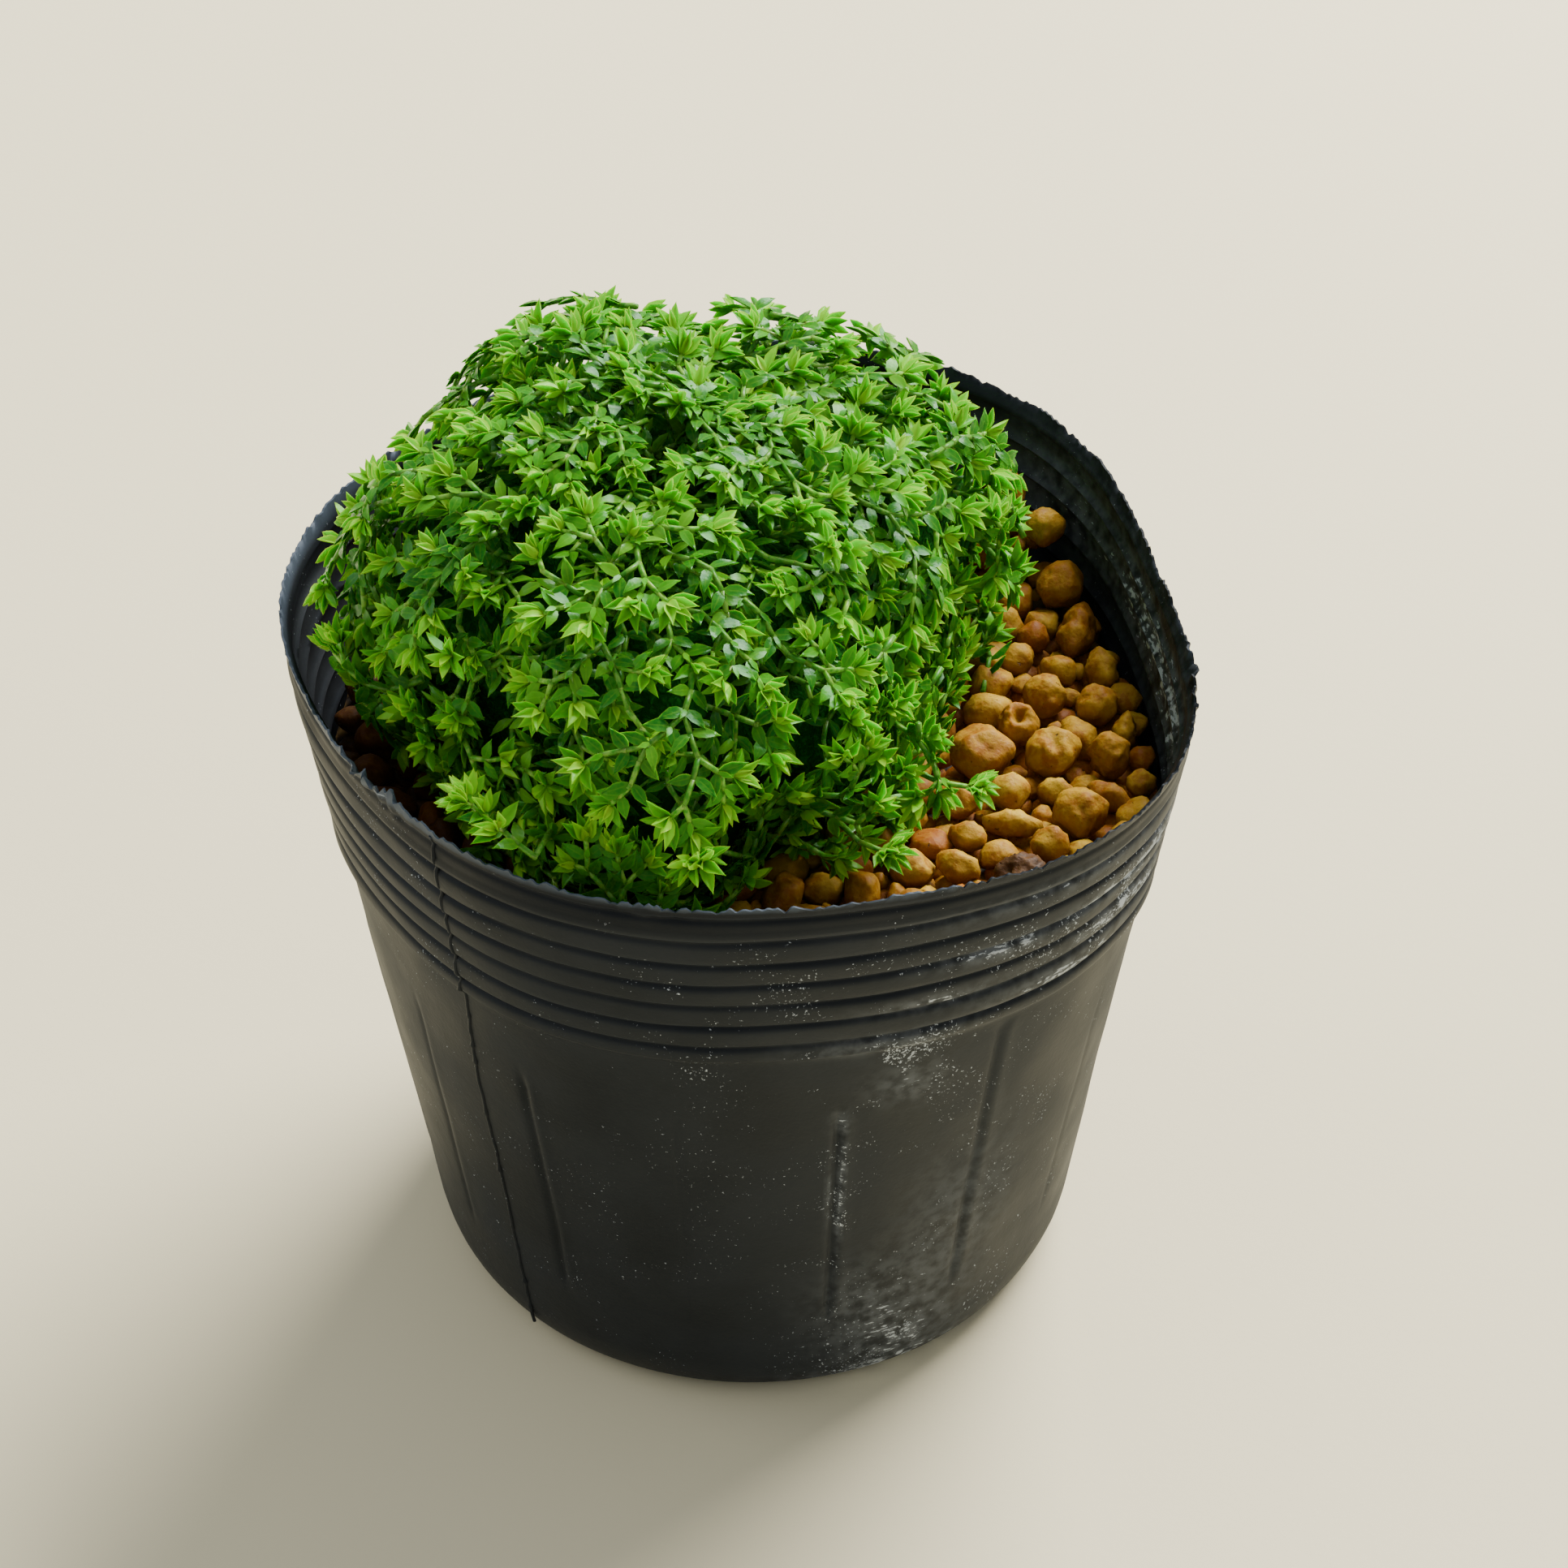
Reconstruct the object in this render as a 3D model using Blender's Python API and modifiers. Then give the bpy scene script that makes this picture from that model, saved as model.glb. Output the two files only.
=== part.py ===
"""Spikemoss clump in a soft nursery pot, the bare side of the pot topped with ochre gravel.

Metres, +Z up. The pot stands on z = 0 and the origin is the middle of its footprint.
The viewer's side is -Y: the bare gravel lies to the right (+X), the moss to the left and back.
"""

import math
import random

import bmesh
import bpy
from mathutils import Matrix, Vector, noise

MM = 0.001

# ---------------------------------------------------------------- driving dimensions

GAP = 0.35 * MM                 # clearance between pieces that touch

POT_HEIGHT = 76 * MM
RIM_RADIUS = 44.35 * MM
BASE_RADIUS = 32.5 * MM
WALL = 0.5 * MM                 # the pot is a thin soft film
POT_COLUMNS = 48
RIM_LEAN = (-0.65 * MM, -0.1 * MM)      # how far the rim's middle sits off the base's middle
RIM_DIP = 0.83 * MM             # the rim drops this much at its right side and rises at its left
RIM_TEAR = 0.3 * MM             # height of the torn teeth along the cut edge
# The soft rim is pushed out of round: (lobes, depth, direction of a lobe in degrees)
RIM_WAVES = (
    (1, 1.00 * MM, -78),
    (2, 1.17 * MM, -161),
    (3, 1.31 * MM, -146),
    (4, 0.84 * MM, -114),
    (5, 0.54 * MM, -178),
)

RIB_COUNT = 7
RIB_BAND = 21.4 * MM            # height of the ribbed band below the rim
RIB_CREST = 0.35 * MM
RIB_VALLEY = -0.25 * MM
WALL_SET_IN = -0.35 * MM        # the plain wall starts a little inside the ribbed band

FLUTE_COUNT = 16
FLUTE_FIRST = -77.5             # direction of one flute, in degrees
FLUTE_LOW = 14 * MM
FLUTE_HIGH = 44 * MM
FLUTE_HALF_WIDTH = 1.0 * MM     # of the cutter, whose middle stands off the wall
FLUTE_HALF_DEPTH = 0.5 * MM
FLUTE_STAND_OFF = 0.2 * MM

FOOT_OUTER = 29.0 * MM
FOOT_INNER = 23.5 * MM
RECESS_RADIUS = 22.0 * MM
RECESS_HEIGHT = 1.2 * MM
DRAIN_RADIUS = 8.0 * MM
SIDE_DRAIN_COUNT = 6
SIDE_DRAIN_RADIUS = 3.0 * MM
SIDE_DRAIN_CIRCLE = 15.0 * MM

BED_COLUMNS = 36
BED_LEVEL = 60.3 * MM           # highest point of the packed gravel under the loose grains
BED_DIMPLE = 1.4 * MM           # how deep the hollows between its fused grains are
BED_GRAIN = 7.0 * MM            # spacing of those hollows
BED_HEAP = (30 * MM, 29 * MM)   # the gravel is heaped against the wall at the back right
BED_HEAP_RISE = 7 * MM
BED_HEAP_REACH = 10 * MM
BED_SMALLEST_GRAIN = 14e-6      # top faces larger than this, in square metres, rise to a grain
BED_CLEARANCE = 0.9 * MM        # to the pot's wall, past the ribs on its inside

MOUND_CENTRE = Vector((-8 * MM, 0, 70 * MM))
MOUND_HEIGHT = 29.5 * MM        # of the crown above that centre, before its tufts
MOUND_LEAN = (-0.11, 0.06)      # the crown leans left and back as it rises
MOUND_DEPTH = 11 * MM           # the cushion draws in below its widest level
MOUND_SQUARENESS = 2.35         # 2 is an ellipsoid, more is a fuller shoulder
MOUND_WAIST = 0.98              # share of the reach at the level of the loose grains
MOUND_WALL_CLEARANCE = 1.2 * MM
# Reach of the cushion from its centre: (direction in degrees, reach)
MOUND_REACH = (
    (-180, 31 * MM),
    (-158, 33 * MM),
    (-140, 32 * MM),
    (-118, 32 * MM),
    (-102, 40 * MM),
    (-85, 41 * MM),
    (-66, 37 * MM),
    (-43, 33 * MM),
    (-34, 27 * MM),
    (-17, 28 * MM),
    (0, 30 * MM),
    (14, 34 * MM),
    (30, 40 * MM),
    (50, 38 * MM),
    (90, 33 * MM),
    (125, 29 * MM),
    (155, 27 * MM),
    (180, 31 * MM),
)
# Lobes and hollows of the cushion: (direction, climb and half width in degrees, rise in mm)
MOUND_LOBES = (
    (45, 60, 22, -2.8),         # the crown falls away to the right and back
    (125, 64, 14, 1.0),
    (19, 17, 15, 2.4),          # overhangs the gravel heap
    (22, 40, 10, -1.2),
    (-124, 28, 14, 1.2),
    (-158, 24, 13, 1.8),        # and the pot's rim on the left
    (-50, 14, 12, 1.0),
    (176, 64, 12, -1.2),
    (-70, -8, 18, -6.0),        # the foot is undercut above the gravel in front
    (-152, -2, 22, -3.5),       # a gap is left beside the pot's wall
)
TUFT_HEIGHTS = (2.0 * MM, 4.6 * MM)     # of the leafy tufts that stand out of the cushion
TUFT_PLAY = 1.6 * MM            # how far a tuft's tip leans aside
TUFT_LOWEST = 67 * MM           # the cushion is bare of tufts below this, next to the gravel

ROOT_SHIFT = (1.48 * MM, 0.45 * MM)     # brings the middle of the whole outline to the origin

# Loose grains on top of the bed, largest first where they crowd each other:
# (name, x, y, length, width, height, heading in degrees, depth of a pit in its top)
GRAINS = (
    ("pebble_big_round", 20.6, -6.9, 6.6, 6.2, 5.4, 0, 0.0),
    ("pebble_dimpled", 29.1, -7.4, 5.8, 5.2, 5.0, 20, 0.2),
    ("pebble_pitted", 25.0, -4.6, 4.6, 4.2, 4.6, 70, 0.4),
    ("pebble_tall", 33.7, -7.0, 4.2, 3.9, 5.4, 0, 0.0),
    ("pebble_round", 31.2, -16.7, 5.4, 5.2, 5.0, 0, 0.0),
    ("pebble_rice", 25.6, -16.2, 6.4, 2.8, 2.8, -12, 0.0),
    ("pebble_bent", 34.2, -12.8, 5.4, 2.6, 3.0, -30, 0.0),
    ("pebble_dark_porous", 25.5, -24.4, 5.2, 4.4, 4.0, 10, 0.0),
    ("pebble_peanut", 33.0, 12.4, 6.8, 3.8, 4.6, 75, 0.0),
    ("pebble_square", 24.4, -11.4, 4.2, 3.8, 4.0, 10, 0.0),
    ("pebble_pillow", 20.2, -14.0, 4.6, 3.8, 3.6, -10, 0.0),
    ("pebble_pale", 28.8, -12.6, 3.8, 2.8, 3.0, -15, 0.0),
    ("pebble_pear", 28.0, -20.8, 4.0, 3.8, 4.2, 60, 0.0),
    ("pebble_green_spotted", 21.6, -18.4, 3.8, 3.2, 3.2, -20, 0.0),
    ("pebble_lumpy", 19.6, -23.4, 4.4, 3.4, 3.6, -25, 0.0),
    ("pebble_wall_slim", 38.2, -4.6, 4.8, 2.4, 3.6, 80, 0.0),
    ("pebble_flat", 34.0, 1.6, 4.8, 4.4, 4.0, 30, 0.0),
    ("pebble_back_round", 28.8, 2.0, 4.8, 4.4, 4.4, 80, 0.0),
    ("pebble_wall_oval", 36.6, 6.6, 5.4, 3.2, 4.0, 100, 0.0),
    ("pebble_back_yellow", 31.2, 6.8, 4.2, 3.2, 3.6, -30, 0.0),
    ("pebble_back_large", 31.0, 18.6, 5.6, 4.8, 4.8, 40, 0.0),
    ("pebble_heap_low", 31.4, 24.6, 4.4, 3.8, 4.0, 0, 0.0),
    ("pebble_heap_high", 27.0, 29.4, 4.4, 3.8, 3.8, 60, 0.0),
    ("pebble_red_bead", 28.2, 10.6, 3.4, 3.2, 3.4, 0, 0.0),
    ("pebble_back_low", 25.2, 9.0, 3.8, 3.4, 3.6, 40, 0.0),
    ("pebble_wall_bead", 38.0, -11.0, 3.0, 2.6, 3.0, 0, 0.0),
    ("pebble_front_left", -35.5, -21.5, 4.4, 4.0, 3.8, 0, 0.0),
    ("pebble_front_middle", 8.5, -35.0, 4.4, 3.8, 3.8, 20, 0.0),
    ("pebble_front_edge", 15.5, -33.0, 3.8, 3.4, 3.4, -20, 0.0),
    ("pebble_front_small", 24.2, -29.6, 4.2, 3.4, 3.4, 30, 0.0),
    ("pebble_front_red", 19.4, -28.6, 4.2, 3.6, 3.6, 0, 0.0),
    ("pebble_wall_round", 35.2, -18.6, 3.4, 3.0, 3.2, 0, 0.0),
)
GRAIN_ROUGHNESS = 0.1           # how far a grain departs from an ellipsoid, as a share of its size
SETTLE_ROUNDS = 80

# Shoots that stand free of the cushion:
# (name, direction and climb of the foot from the cushion's centre, stand-off, heading, climb, length)
SPRIGS = (
    ("sprig_over_rim", -104, 10.5, 2.8, 150, 22, 9.6),
    ("sprig_front", -84, 11, 1.6, -80, 8, 3.0),
    ("sprig_front_right", -42, 4, 2.0, -20, 5, 5.0),
    ("sprig_low_right", -59, 2, 2.0, -35, 4, 4.5),
)
SPRIG_STEM = 0.45 * MM          # radius at its foot
LEAF_LENGTH = 2.6 * MM
LEAF_WIDTH = 1.3 * MM
LEAF_THICKNESS = 0.5 * MM


# ---------------------------------------------------------------- shared helpers

def clear_scene():
    for item in list(bpy.data.objects):
        bpy.data.objects.remove(item, do_unlink=True)


def new_collection(name):
    collection = bpy.data.collections.new(name)
    bpy.context.scene.collection.children.link(collection)
    return collection


def new_material(name, colour, roughness, metallic=0.0):
    material = bpy.data.materials.new(name)
    material.use_nodes = True
    shader = material.node_tree.nodes["Principled BSDF"]
    shader.inputs["Base Color"].default_value = (*colour, 1.0)
    shader.inputs["Roughness"].default_value = roughness
    shader.inputs["Metallic"].default_value = metallic
    return material


def finish_object(name, mesh_data, collection, parent, material):
    """Turn a bmesh into a smooth-shaded object under the clump's empty."""
    mesh = bpy.data.meshes.new(name)
    mesh_data.to_mesh(mesh)
    mesh_data.free()
    mesh.shade_smooth()
    mesh.set_sharp_from_angle(angle=math.radians(50))
    mesh.materials.append(material)
    item = bpy.data.objects.new(name, mesh)
    collection.objects.link(item)
    item.parent = parent
    return item


def spin_profile(points, columns):
    """Turn (radius, height) points about Z, and merge the seam and the poles."""
    mesh_data = bmesh.new()
    verts = [mesh_data.verts.new((radius, 0, height)) for radius, height in points]
    edges = [mesh_data.edges.new(pair) for pair in zip(verts, verts[1:])]
    bmesh.ops.spin(
        mesh_data,
        geom=verts + edges,
        cent=(0, 0, 0),
        axis=(0, 0, 1),
        angle=math.tau,
        steps=columns,
        use_merge=True,
    )
    bmesh.ops.remove_doubles(mesh_data, verts=mesh_data.verts, dist=0.02 * MM)
    return mesh_data


def face_outwards(mesh_data):
    mesh_data.normal_update()
    bmesh.ops.recalc_face_normals(mesh_data, faces=mesh_data.faces)


# ---------------------------------------------------------------- the pot's form

def rim_share(height):
    """How much of the rim's distortion is felt at a height: none at the foot, all at the rim."""
    return max(0.0, height / POT_HEIGHT) ** 1.5


def rim_wave(angle):
    return sum(depth * math.cos(lobes * angle - math.radians(phase)) for lobes, depth, phase in RIM_WAVES)


def cone_radius(height):
    return BASE_RADIUS + (RIM_RADIUS - BASE_RADIUS) * height / POT_HEIGHT


def distort(radius, angle, height):
    """Place a point of the round pot on the real pot, whose soft rim is out of round."""
    share = rim_share(height)
    radius += share * rim_wave(angle)
    return Vector((
        radius * math.cos(angle) + share * RIM_LEAN[0],
        radius * math.sin(angle) + share * RIM_LEAN[1],
        height,
    ))


def distort_mesh(mesh_data):
    for vert in mesh_data.verts:
        radius = math.hypot(vert.co.x, vert.co.y)
        if radius > DRAIN_RADIUS / 2:
            vert.co = distort(radius, math.atan2(vert.co.y, vert.co.x), vert.co.z)


def wall_reach(angle, height, clearance):
    """Radius inside the pot at a height that stays clear of its inner wall."""
    return cone_radius(height) + rim_share(height) * rim_wave(angle) - WALL - clearance


def rib_rows():
    """The ribbed band, from the rim down: a valley and a crest for each rib."""
    pitch = RIB_BAND / RIB_COUNT
    for rib in range(RIB_COUNT):
        valley = POT_HEIGHT - pitch * (rib + 0.5)
        crest = POT_HEIGHT - pitch * (rib + 1)
        yield cone_radius(valley) + RIB_VALLEY, valley
        yield cone_radius(crest) + RIB_CREST, crest


def pot_profile():
    """The outer skin from the rim down to the edge of the middle drain hole."""
    band_end = POT_HEIGHT - RIB_BAND
    wall_top = band_end - 0.6 * MM
    wall_middle = 30 * MM
    wall_low = 5 * MM
    rows = [(cone_radius(POT_HEIGHT), POT_HEIGHT)]
    rows += list(rib_rows())
    rows += [
        (cone_radius(wall_top) + WALL_SET_IN, wall_top),
        (cone_radius(wall_middle) + WALL_SET_IN / 2, wall_middle),
        (cone_radius(wall_low), wall_low),
        (cone_radius(wall_low) - 1.1 * MM, 1.5 * MM),
        (FOOT_OUTER, 0),
        (FOOT_INNER, 0),
        (RECESS_RADIUS, RECESS_HEIGHT),
        (DRAIN_RADIUS, RECESS_HEIGHT),
    ]
    return rows


def rim_height_offset(x, y, angle):
    """The cut edge dips to the right and is torn in small teeth."""
    dip = -RIM_DIP * (x - RIM_LEAN[0]) / RIM_RADIUS
    tooth = RIM_TEAR * noise.noise(Vector((9 * math.cos(angle), 9 * math.sin(angle), 0.5)))
    return dip + tooth


def flute_cutter(collection, parent):
    """Sixteen narrow grooves pressed in the plain wall, each cut by a long thin diamond prism."""
    mesh_data = bmesh.new()
    for index in range(FLUTE_COUNT):
        angle = math.radians(FLUTE_FIRST + 360 / FLUTE_COUNT * index)
        low = distort(cone_radius(FLUTE_LOW) + FLUTE_STAND_OFF, angle, FLUTE_LOW)
        high = distort(cone_radius(FLUTE_HIGH) + WALL_SET_IN + FLUTE_STAND_OFF, angle, FLUTE_HIGH)
        along = (high - low).normalized()
        sideways = Vector((-math.sin(angle), math.cos(angle), 0))
        outwards = sideways.cross(along)
        frame = Matrix((sideways, outwards, along)).transposed().to_4x4()
        frame.translation = (low + high) / 2
        size = Matrix.Diagonal((FLUTE_HALF_WIDTH, FLUTE_HALF_DEPTH, (high - low).length, 1))
        bmesh.ops.create_cone(
            mesh_data,
            cap_ends=True,
            segments=4,
            radius1=1,
            radius2=1,
            depth=1,
            matrix=frame @ size,
        )
    face_outwards(mesh_data)
    return finish_cutter("flute_cutter", mesh_data, collection, parent)


def drain_cutter(collection, parent):
    """Six small drain holes round the middle one."""
    mesh_data = bmesh.new()
    for index in range(SIDE_DRAIN_COUNT):
        angle = math.tau * (index + 0.5) / SIDE_DRAIN_COUNT
        place = Matrix.Translation((
            SIDE_DRAIN_CIRCLE * math.cos(angle),
            SIDE_DRAIN_CIRCLE * math.sin(angle),
            RECESS_HEIGHT,
        ))
        bmesh.ops.create_cone(
            mesh_data,
            cap_ends=True,
            segments=10,
            radius1=SIDE_DRAIN_RADIUS,
            radius2=SIDE_DRAIN_RADIUS,
            depth=4 * MM,
            matrix=place,
        )
    return finish_cutter("drain_cutter", mesh_data, collection, parent)


def finish_cutter(name, mesh_data, collection, parent):
    mesh = bpy.data.meshes.new(name)
    mesh_data.to_mesh(mesh)
    mesh_data.free()
    item = bpy.data.objects.new(name, mesh)
    collection.objects.link(item)
    item.parent = parent
    item.hide_render = True
    item.display_type = "WIRE"
    return item


def build_pot(collection, cutters, parent, material):
    mesh_data = spin_profile(pot_profile(), POT_COLUMNS)
    rim = [vert for vert in mesh_data.verts if vert.co.z > POT_HEIGHT - 0.1 * MM]
    distort_mesh(mesh_data)
    for vert in rim:
        vert.co.z += rim_height_offset(vert.co.x, vert.co.y, math.atan2(vert.co.y, vert.co.x))
    face_outwards(mesh_data)
    wall_face = max(mesh_data.faces, key=lambda face: face.calc_center_median().x)
    if wall_face.normal.x < 0:
        bmesh.ops.reverse_faces(mesh_data, faces=mesh_data.faces)
    pot = finish_object("nursery_pot", mesh_data, collection, parent, material)
    film = pot.modifiers.new("film", "SOLIDIFY")
    film.thickness = WALL
    film.offset = -1
    for cutter in (drain_cutter(cutters, parent), flute_cutter(cutters, parent)):
        cut = pot.modifiers.new(cutter.name, "BOOLEAN")
        cut.operation = "DIFFERENCE"
        cut.object = cutter
    return pot


# ---------------------------------------------------------------- the gravel

def bed_profile():
    floor = RECESS_HEIGHT + WALL + GAP
    foot = WALL + GAP
    corner = 5 * MM
    shoulder = 40 * MM
    edge = BED_LEVEL - 0.8 * MM
    top_radius = cone_radius(BED_LEVEL) - WALL - BED_CLEARANCE
    rows = [
        (0, floor),
        (RECESS_RADIUS + 1.0 * MM, floor),
        (FOOT_INNER + 1.6 * MM, foot),
        (FOOT_OUTER - 1.2 * MM, foot),
        (cone_radius(corner) - WALL - BED_CLEARANCE, corner),
        (cone_radius(shoulder) - WALL - BED_CLEARANCE, shoulder),
        (cone_radius(edge) - WALL - BED_CLEARANCE, edge),
    ]
    rows += [(top_radius * share, BED_LEVEL) for share in (0.94, 0.78, 0.62, 0.42, 0.2, 0)]
    return rows


def bed_top(place):
    """Highest level of the packed gravel at a place: flat, but for the heap by the wall."""
    away = math.dist(place, BED_HEAP) / BED_HEAP_REACH
    heap = 0.5 + 0.5 * math.cos(math.pi * away) if away < 1 else 0
    return BED_LEVEL + BED_HEAP_RISE * heap


def build_bed(collection, parent, material):
    """The packed gravel that fills the pot, with a top of grains pressed together."""
    mesh_data = spin_profile(bed_profile(), BED_COLUMNS)
    distort_mesh(mesh_data)
    face_outwards(mesh_data)
    top_verts = [vert for vert in mesh_data.verts if vert.co.z > BED_LEVEL - 0.1 * MM]
    top_faces = {face for vert in top_verts for face in vert.link_faces if face.normal.z > 0.9}
    for vert in top_verts:
        hollow = noise.noise(vert.co / BED_GRAIN + Vector((3.1, 5.7, 0)))
        vert.co.z = bed_top(vert.co.xy) - BED_DIMPLE * (0.7 + 0.3 * hollow)
    large = [face for face in top_faces if face.calc_area() > BED_SMALLEST_GRAIN]
    for grain_top in bmesh.ops.poke(mesh_data, faces=large)["verts"]:
        grain_top.co.z += BED_DIMPLE * 0.6
    face_outwards(mesh_data)
    return finish_object("gravel_bed", mesh_data, collection, parent, material)


def grain_reach(length, width, heading, direction):
    """Half the size of an oval grain, seen from above, along a direction."""
    turn = direction - math.radians(heading)
    return 0.5 * math.hypot(length * math.cos(turn), width * math.sin(turn))


def settle_grains():
    """Nudge the grains apart until none touches another, the wall or the moss."""
    places = [Vector((grain[1] * MM, grain[2] * MM)) for grain in GRAINS]
    for _ in range(SETTLE_ROUNDS):
        for first in range(len(GRAINS)):
            for second in range(first + 1, len(GRAINS)):
                push_apart(places, first, second)
        for index, grain in enumerate(GRAINS):
            keep_on_bed(places, index, grain)
    return places


def push_apart(places, first, second):
    between = places[second] - places[first]
    direction = math.atan2(between.y, between.x)
    room = 1.06 * MM * sum(
        grain_reach(GRAINS[index][3], GRAINS[index][4], GRAINS[index][6], direction)
        for index in (first, second)
    ) + GAP
    lack = room - between.length
    if lack > 0:
        step = between.normalized() * lack * 0.5
        places[first] -= step
        places[second] += step


def keep_on_bed(places, index, grain):
    """Push a grain off the wall and out from under the moss."""
    reach = 0.53 * MM * max(grain[3], grain[4])
    place = places[index]
    angle = math.atan2(place.y, place.x)
    limit = wall_reach(angle, BED_LEVEL, BED_CLEARANCE) - reach
    if place.length > limit:
        place *= limit / place.length
    outwards = place - MOUND_CENTRE.xy
    angle = math.atan2(outwards.y, outwards.x)
    near = mound_reach(angle) * MOUND_WAIST + reach
    if outwards.length < near:
        places[index] = MOUND_CENTRE.xy + outwards * near / outwards.length


def build_grain(grain, place, collection, parent, material):
    """One loose grain: a rounded lump, with its pit pressed in the top if it has one."""
    name, _, _, length, width, height, heading, pit = grain
    mesh_data = bmesh.new()
    bmesh.ops.create_icosphere(mesh_data, subdivisions=2, radius=1)
    seed = Vector((place.x, place.y, 0)) / MM
    for vert in mesh_data.verts:
        lump = noise.noise(vert.co * 1.1 + seed) + 0.5
        squareness = 1 + 0.06 * math.cos(4 * math.atan2(vert.co.y, vert.co.x))
        vert.co *= squareness * (1 + GRAIN_ROUGHNESS * (lump - 0.5))
    top = max(mesh_data.verts, key=lambda vert: vert.co.z)
    top.co *= 1 - pit
    size = Matrix.Diagonal((length / 2 * MM, width / 2 * MM, height / 2 * MM, 1))
    mesh_data.transform(Matrix.Rotation(math.radians(heading), 4, "Z") @ size)
    lowest = min(vert.co.z for vert in mesh_data.verts)
    item = finish_object(name, mesh_data, collection, parent, material)
    reach = length / 2 * MM
    around = [place + Vector((reach * dx, reach * dy)) for dx in (-1, 0, 1) for dy in (-1, 0, 1)]
    level = max(bed_top(spot) for spot in around)
    item.location = (place.x, place.y, level + GAP - lowest)
    return item


# ---------------------------------------------------------------- the moss

def mound_reach(angle):
    """Reach of the cushion from its centre in a direction, eased between the named ones."""
    degrees = (math.degrees(angle) + 180) % 360 - 180
    for (left, near), (right, far) in zip(MOUND_REACH, MOUND_REACH[1:]):
        if degrees <= right:
            share = (degrees - left) / (right - left)
            ease = share * share * (3 - 2 * share)
            return near + (far - near) * ease
    return MOUND_REACH[-1][1]


def wall_limit(direction, height):
    """How far a horizontal ray from the cushion's centre runs before it nears the pot's wall."""
    reach = 0.0
    step = 0.5 * MM
    height = min(height, POT_HEIGHT)
    while reach < 60 * MM:
        point = MOUND_CENTRE.xy + direction * reach
        angle = math.atan2(point.y, point.x)
        if point.length > wall_reach(angle, height, MOUND_WALL_CLEARANCE):
            break
        reach += step
    return reach - step


def lobe_rise(direction):
    """How far the lobes push the cushion's surface out in a direction, or the hollows draw it in."""
    total = 0.0
    for heading, climb, half_width, rise in MOUND_LOBES:
        away = direction.angle(direction_of(math.radians(heading), math.radians(climb)))
        total += rise * MM * math.exp(-(away / math.radians(half_width)) ** 2)
    return total


def mound_point(direction):
    """The cushion's surface along a ray from its centre, cut flat where it sits on the gravel."""
    floor = BED_LEVEL + GAP
    level = math.hypot(direction.x, direction.y)
    heading = math.atan2(direction.y, direction.x)
    side = Vector((math.cos(heading), math.sin(heading)))
    power = MOUND_SQUARENESS
    rise = MOUND_HEIGHT if direction.z > 0 else MOUND_DEPTH
    shape = (level / mound_reach(heading)) ** power + (abs(direction.z) / rise) ** power
    distance = shape ** (-1 / power) + lobe_rise(direction)
    if direction.z < 0:
        distance = min(distance, (MOUND_CENTRE.z - floor) / -direction.z)
    point = MOUND_CENTRE + direction * distance
    lift = max(0.0, point.z - MOUND_CENTRE.z)
    point += Vector((*MOUND_LEAN, 0)) * lift
    if point.z < POT_HEIGHT + 2 * MM:
        run = (point - MOUND_CENTRE).xy.length
        limit = wall_limit(side, min(point.z, POT_HEIGHT - 2 * MM))
        if run > limit:
            point.x = MOUND_CENTRE.x + side.x * limit
            point.y = MOUND_CENTRE.y + side.y * limit
    return point


def build_mound(collection, parent, material):
    """The grown cushion of shoots, one piece, with its leafy tufts fused to it."""
    play = random.Random(9)
    mesh_data = bmesh.new()
    bmesh.ops.create_icosphere(mesh_data, subdivisions=3, radius=1)
    for vert in mesh_data.verts:
        vert.co = mound_point(vert.co.normalized())
    mesh_data.normal_update()
    leafy = [face for face in mesh_data.faces if face.calc_center_median().z > TUFT_LOWEST]
    tips = bmesh.ops.poke(mesh_data, faces=leafy)["verts"]
    mesh_data.normal_update()
    for tip in tips:
        aside = Vector([play.uniform(-TUFT_PLAY, TUFT_PLAY) for _ in range(3)])
        tip.co += tip.normal * play.uniform(*TUFT_HEIGHTS) + aside
        keep_inside_pot(tip)
    return finish_object("moss_mound", mesh_data, collection, parent, material)


def keep_inside_pot(vert):
    """Draw a tuft's tip back if it would reach through the pot's wall."""
    if vert.co.z > POT_HEIGHT + 2 * MM:
        return
    outwards = vert.co.xy - MOUND_CENTRE.xy
    limit = wall_limit(outwards.normalized(), min(vert.co.z, POT_HEIGHT - 2 * MM))
    if outwards.length > limit:
        vert.co.xy = MOUND_CENTRE.xy + outwards.normalized() * limit


def direction_of(heading, climb):
    level = math.cos(climb)
    return Vector((level * math.cos(heading), level * math.sin(heading), math.sin(climb)))


def add_leaf(mesh_data, foot, heading, climb, roll):
    """A pointed leaf, thick enough to be solid: a stretched eight-faced lens."""
    stretch = Matrix.Diagonal((LEAF_LENGTH / 2, LEAF_WIDTH / 2, LEAF_THICKNESS / 2, 1))
    turn = Matrix.Rotation(heading, 4, "Z") @ Matrix.Rotation(-climb, 4, "Y") @ Matrix.Rotation(roll, 4, "X")
    place = Matrix.Translation(foot) @ turn @ Matrix.Translation((LEAF_LENGTH * 0.42, 0, 0)) @ stretch
    bmesh.ops.create_uvsphere(mesh_data, u_segments=4, v_segments=2, radius=1, matrix=place)


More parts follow.
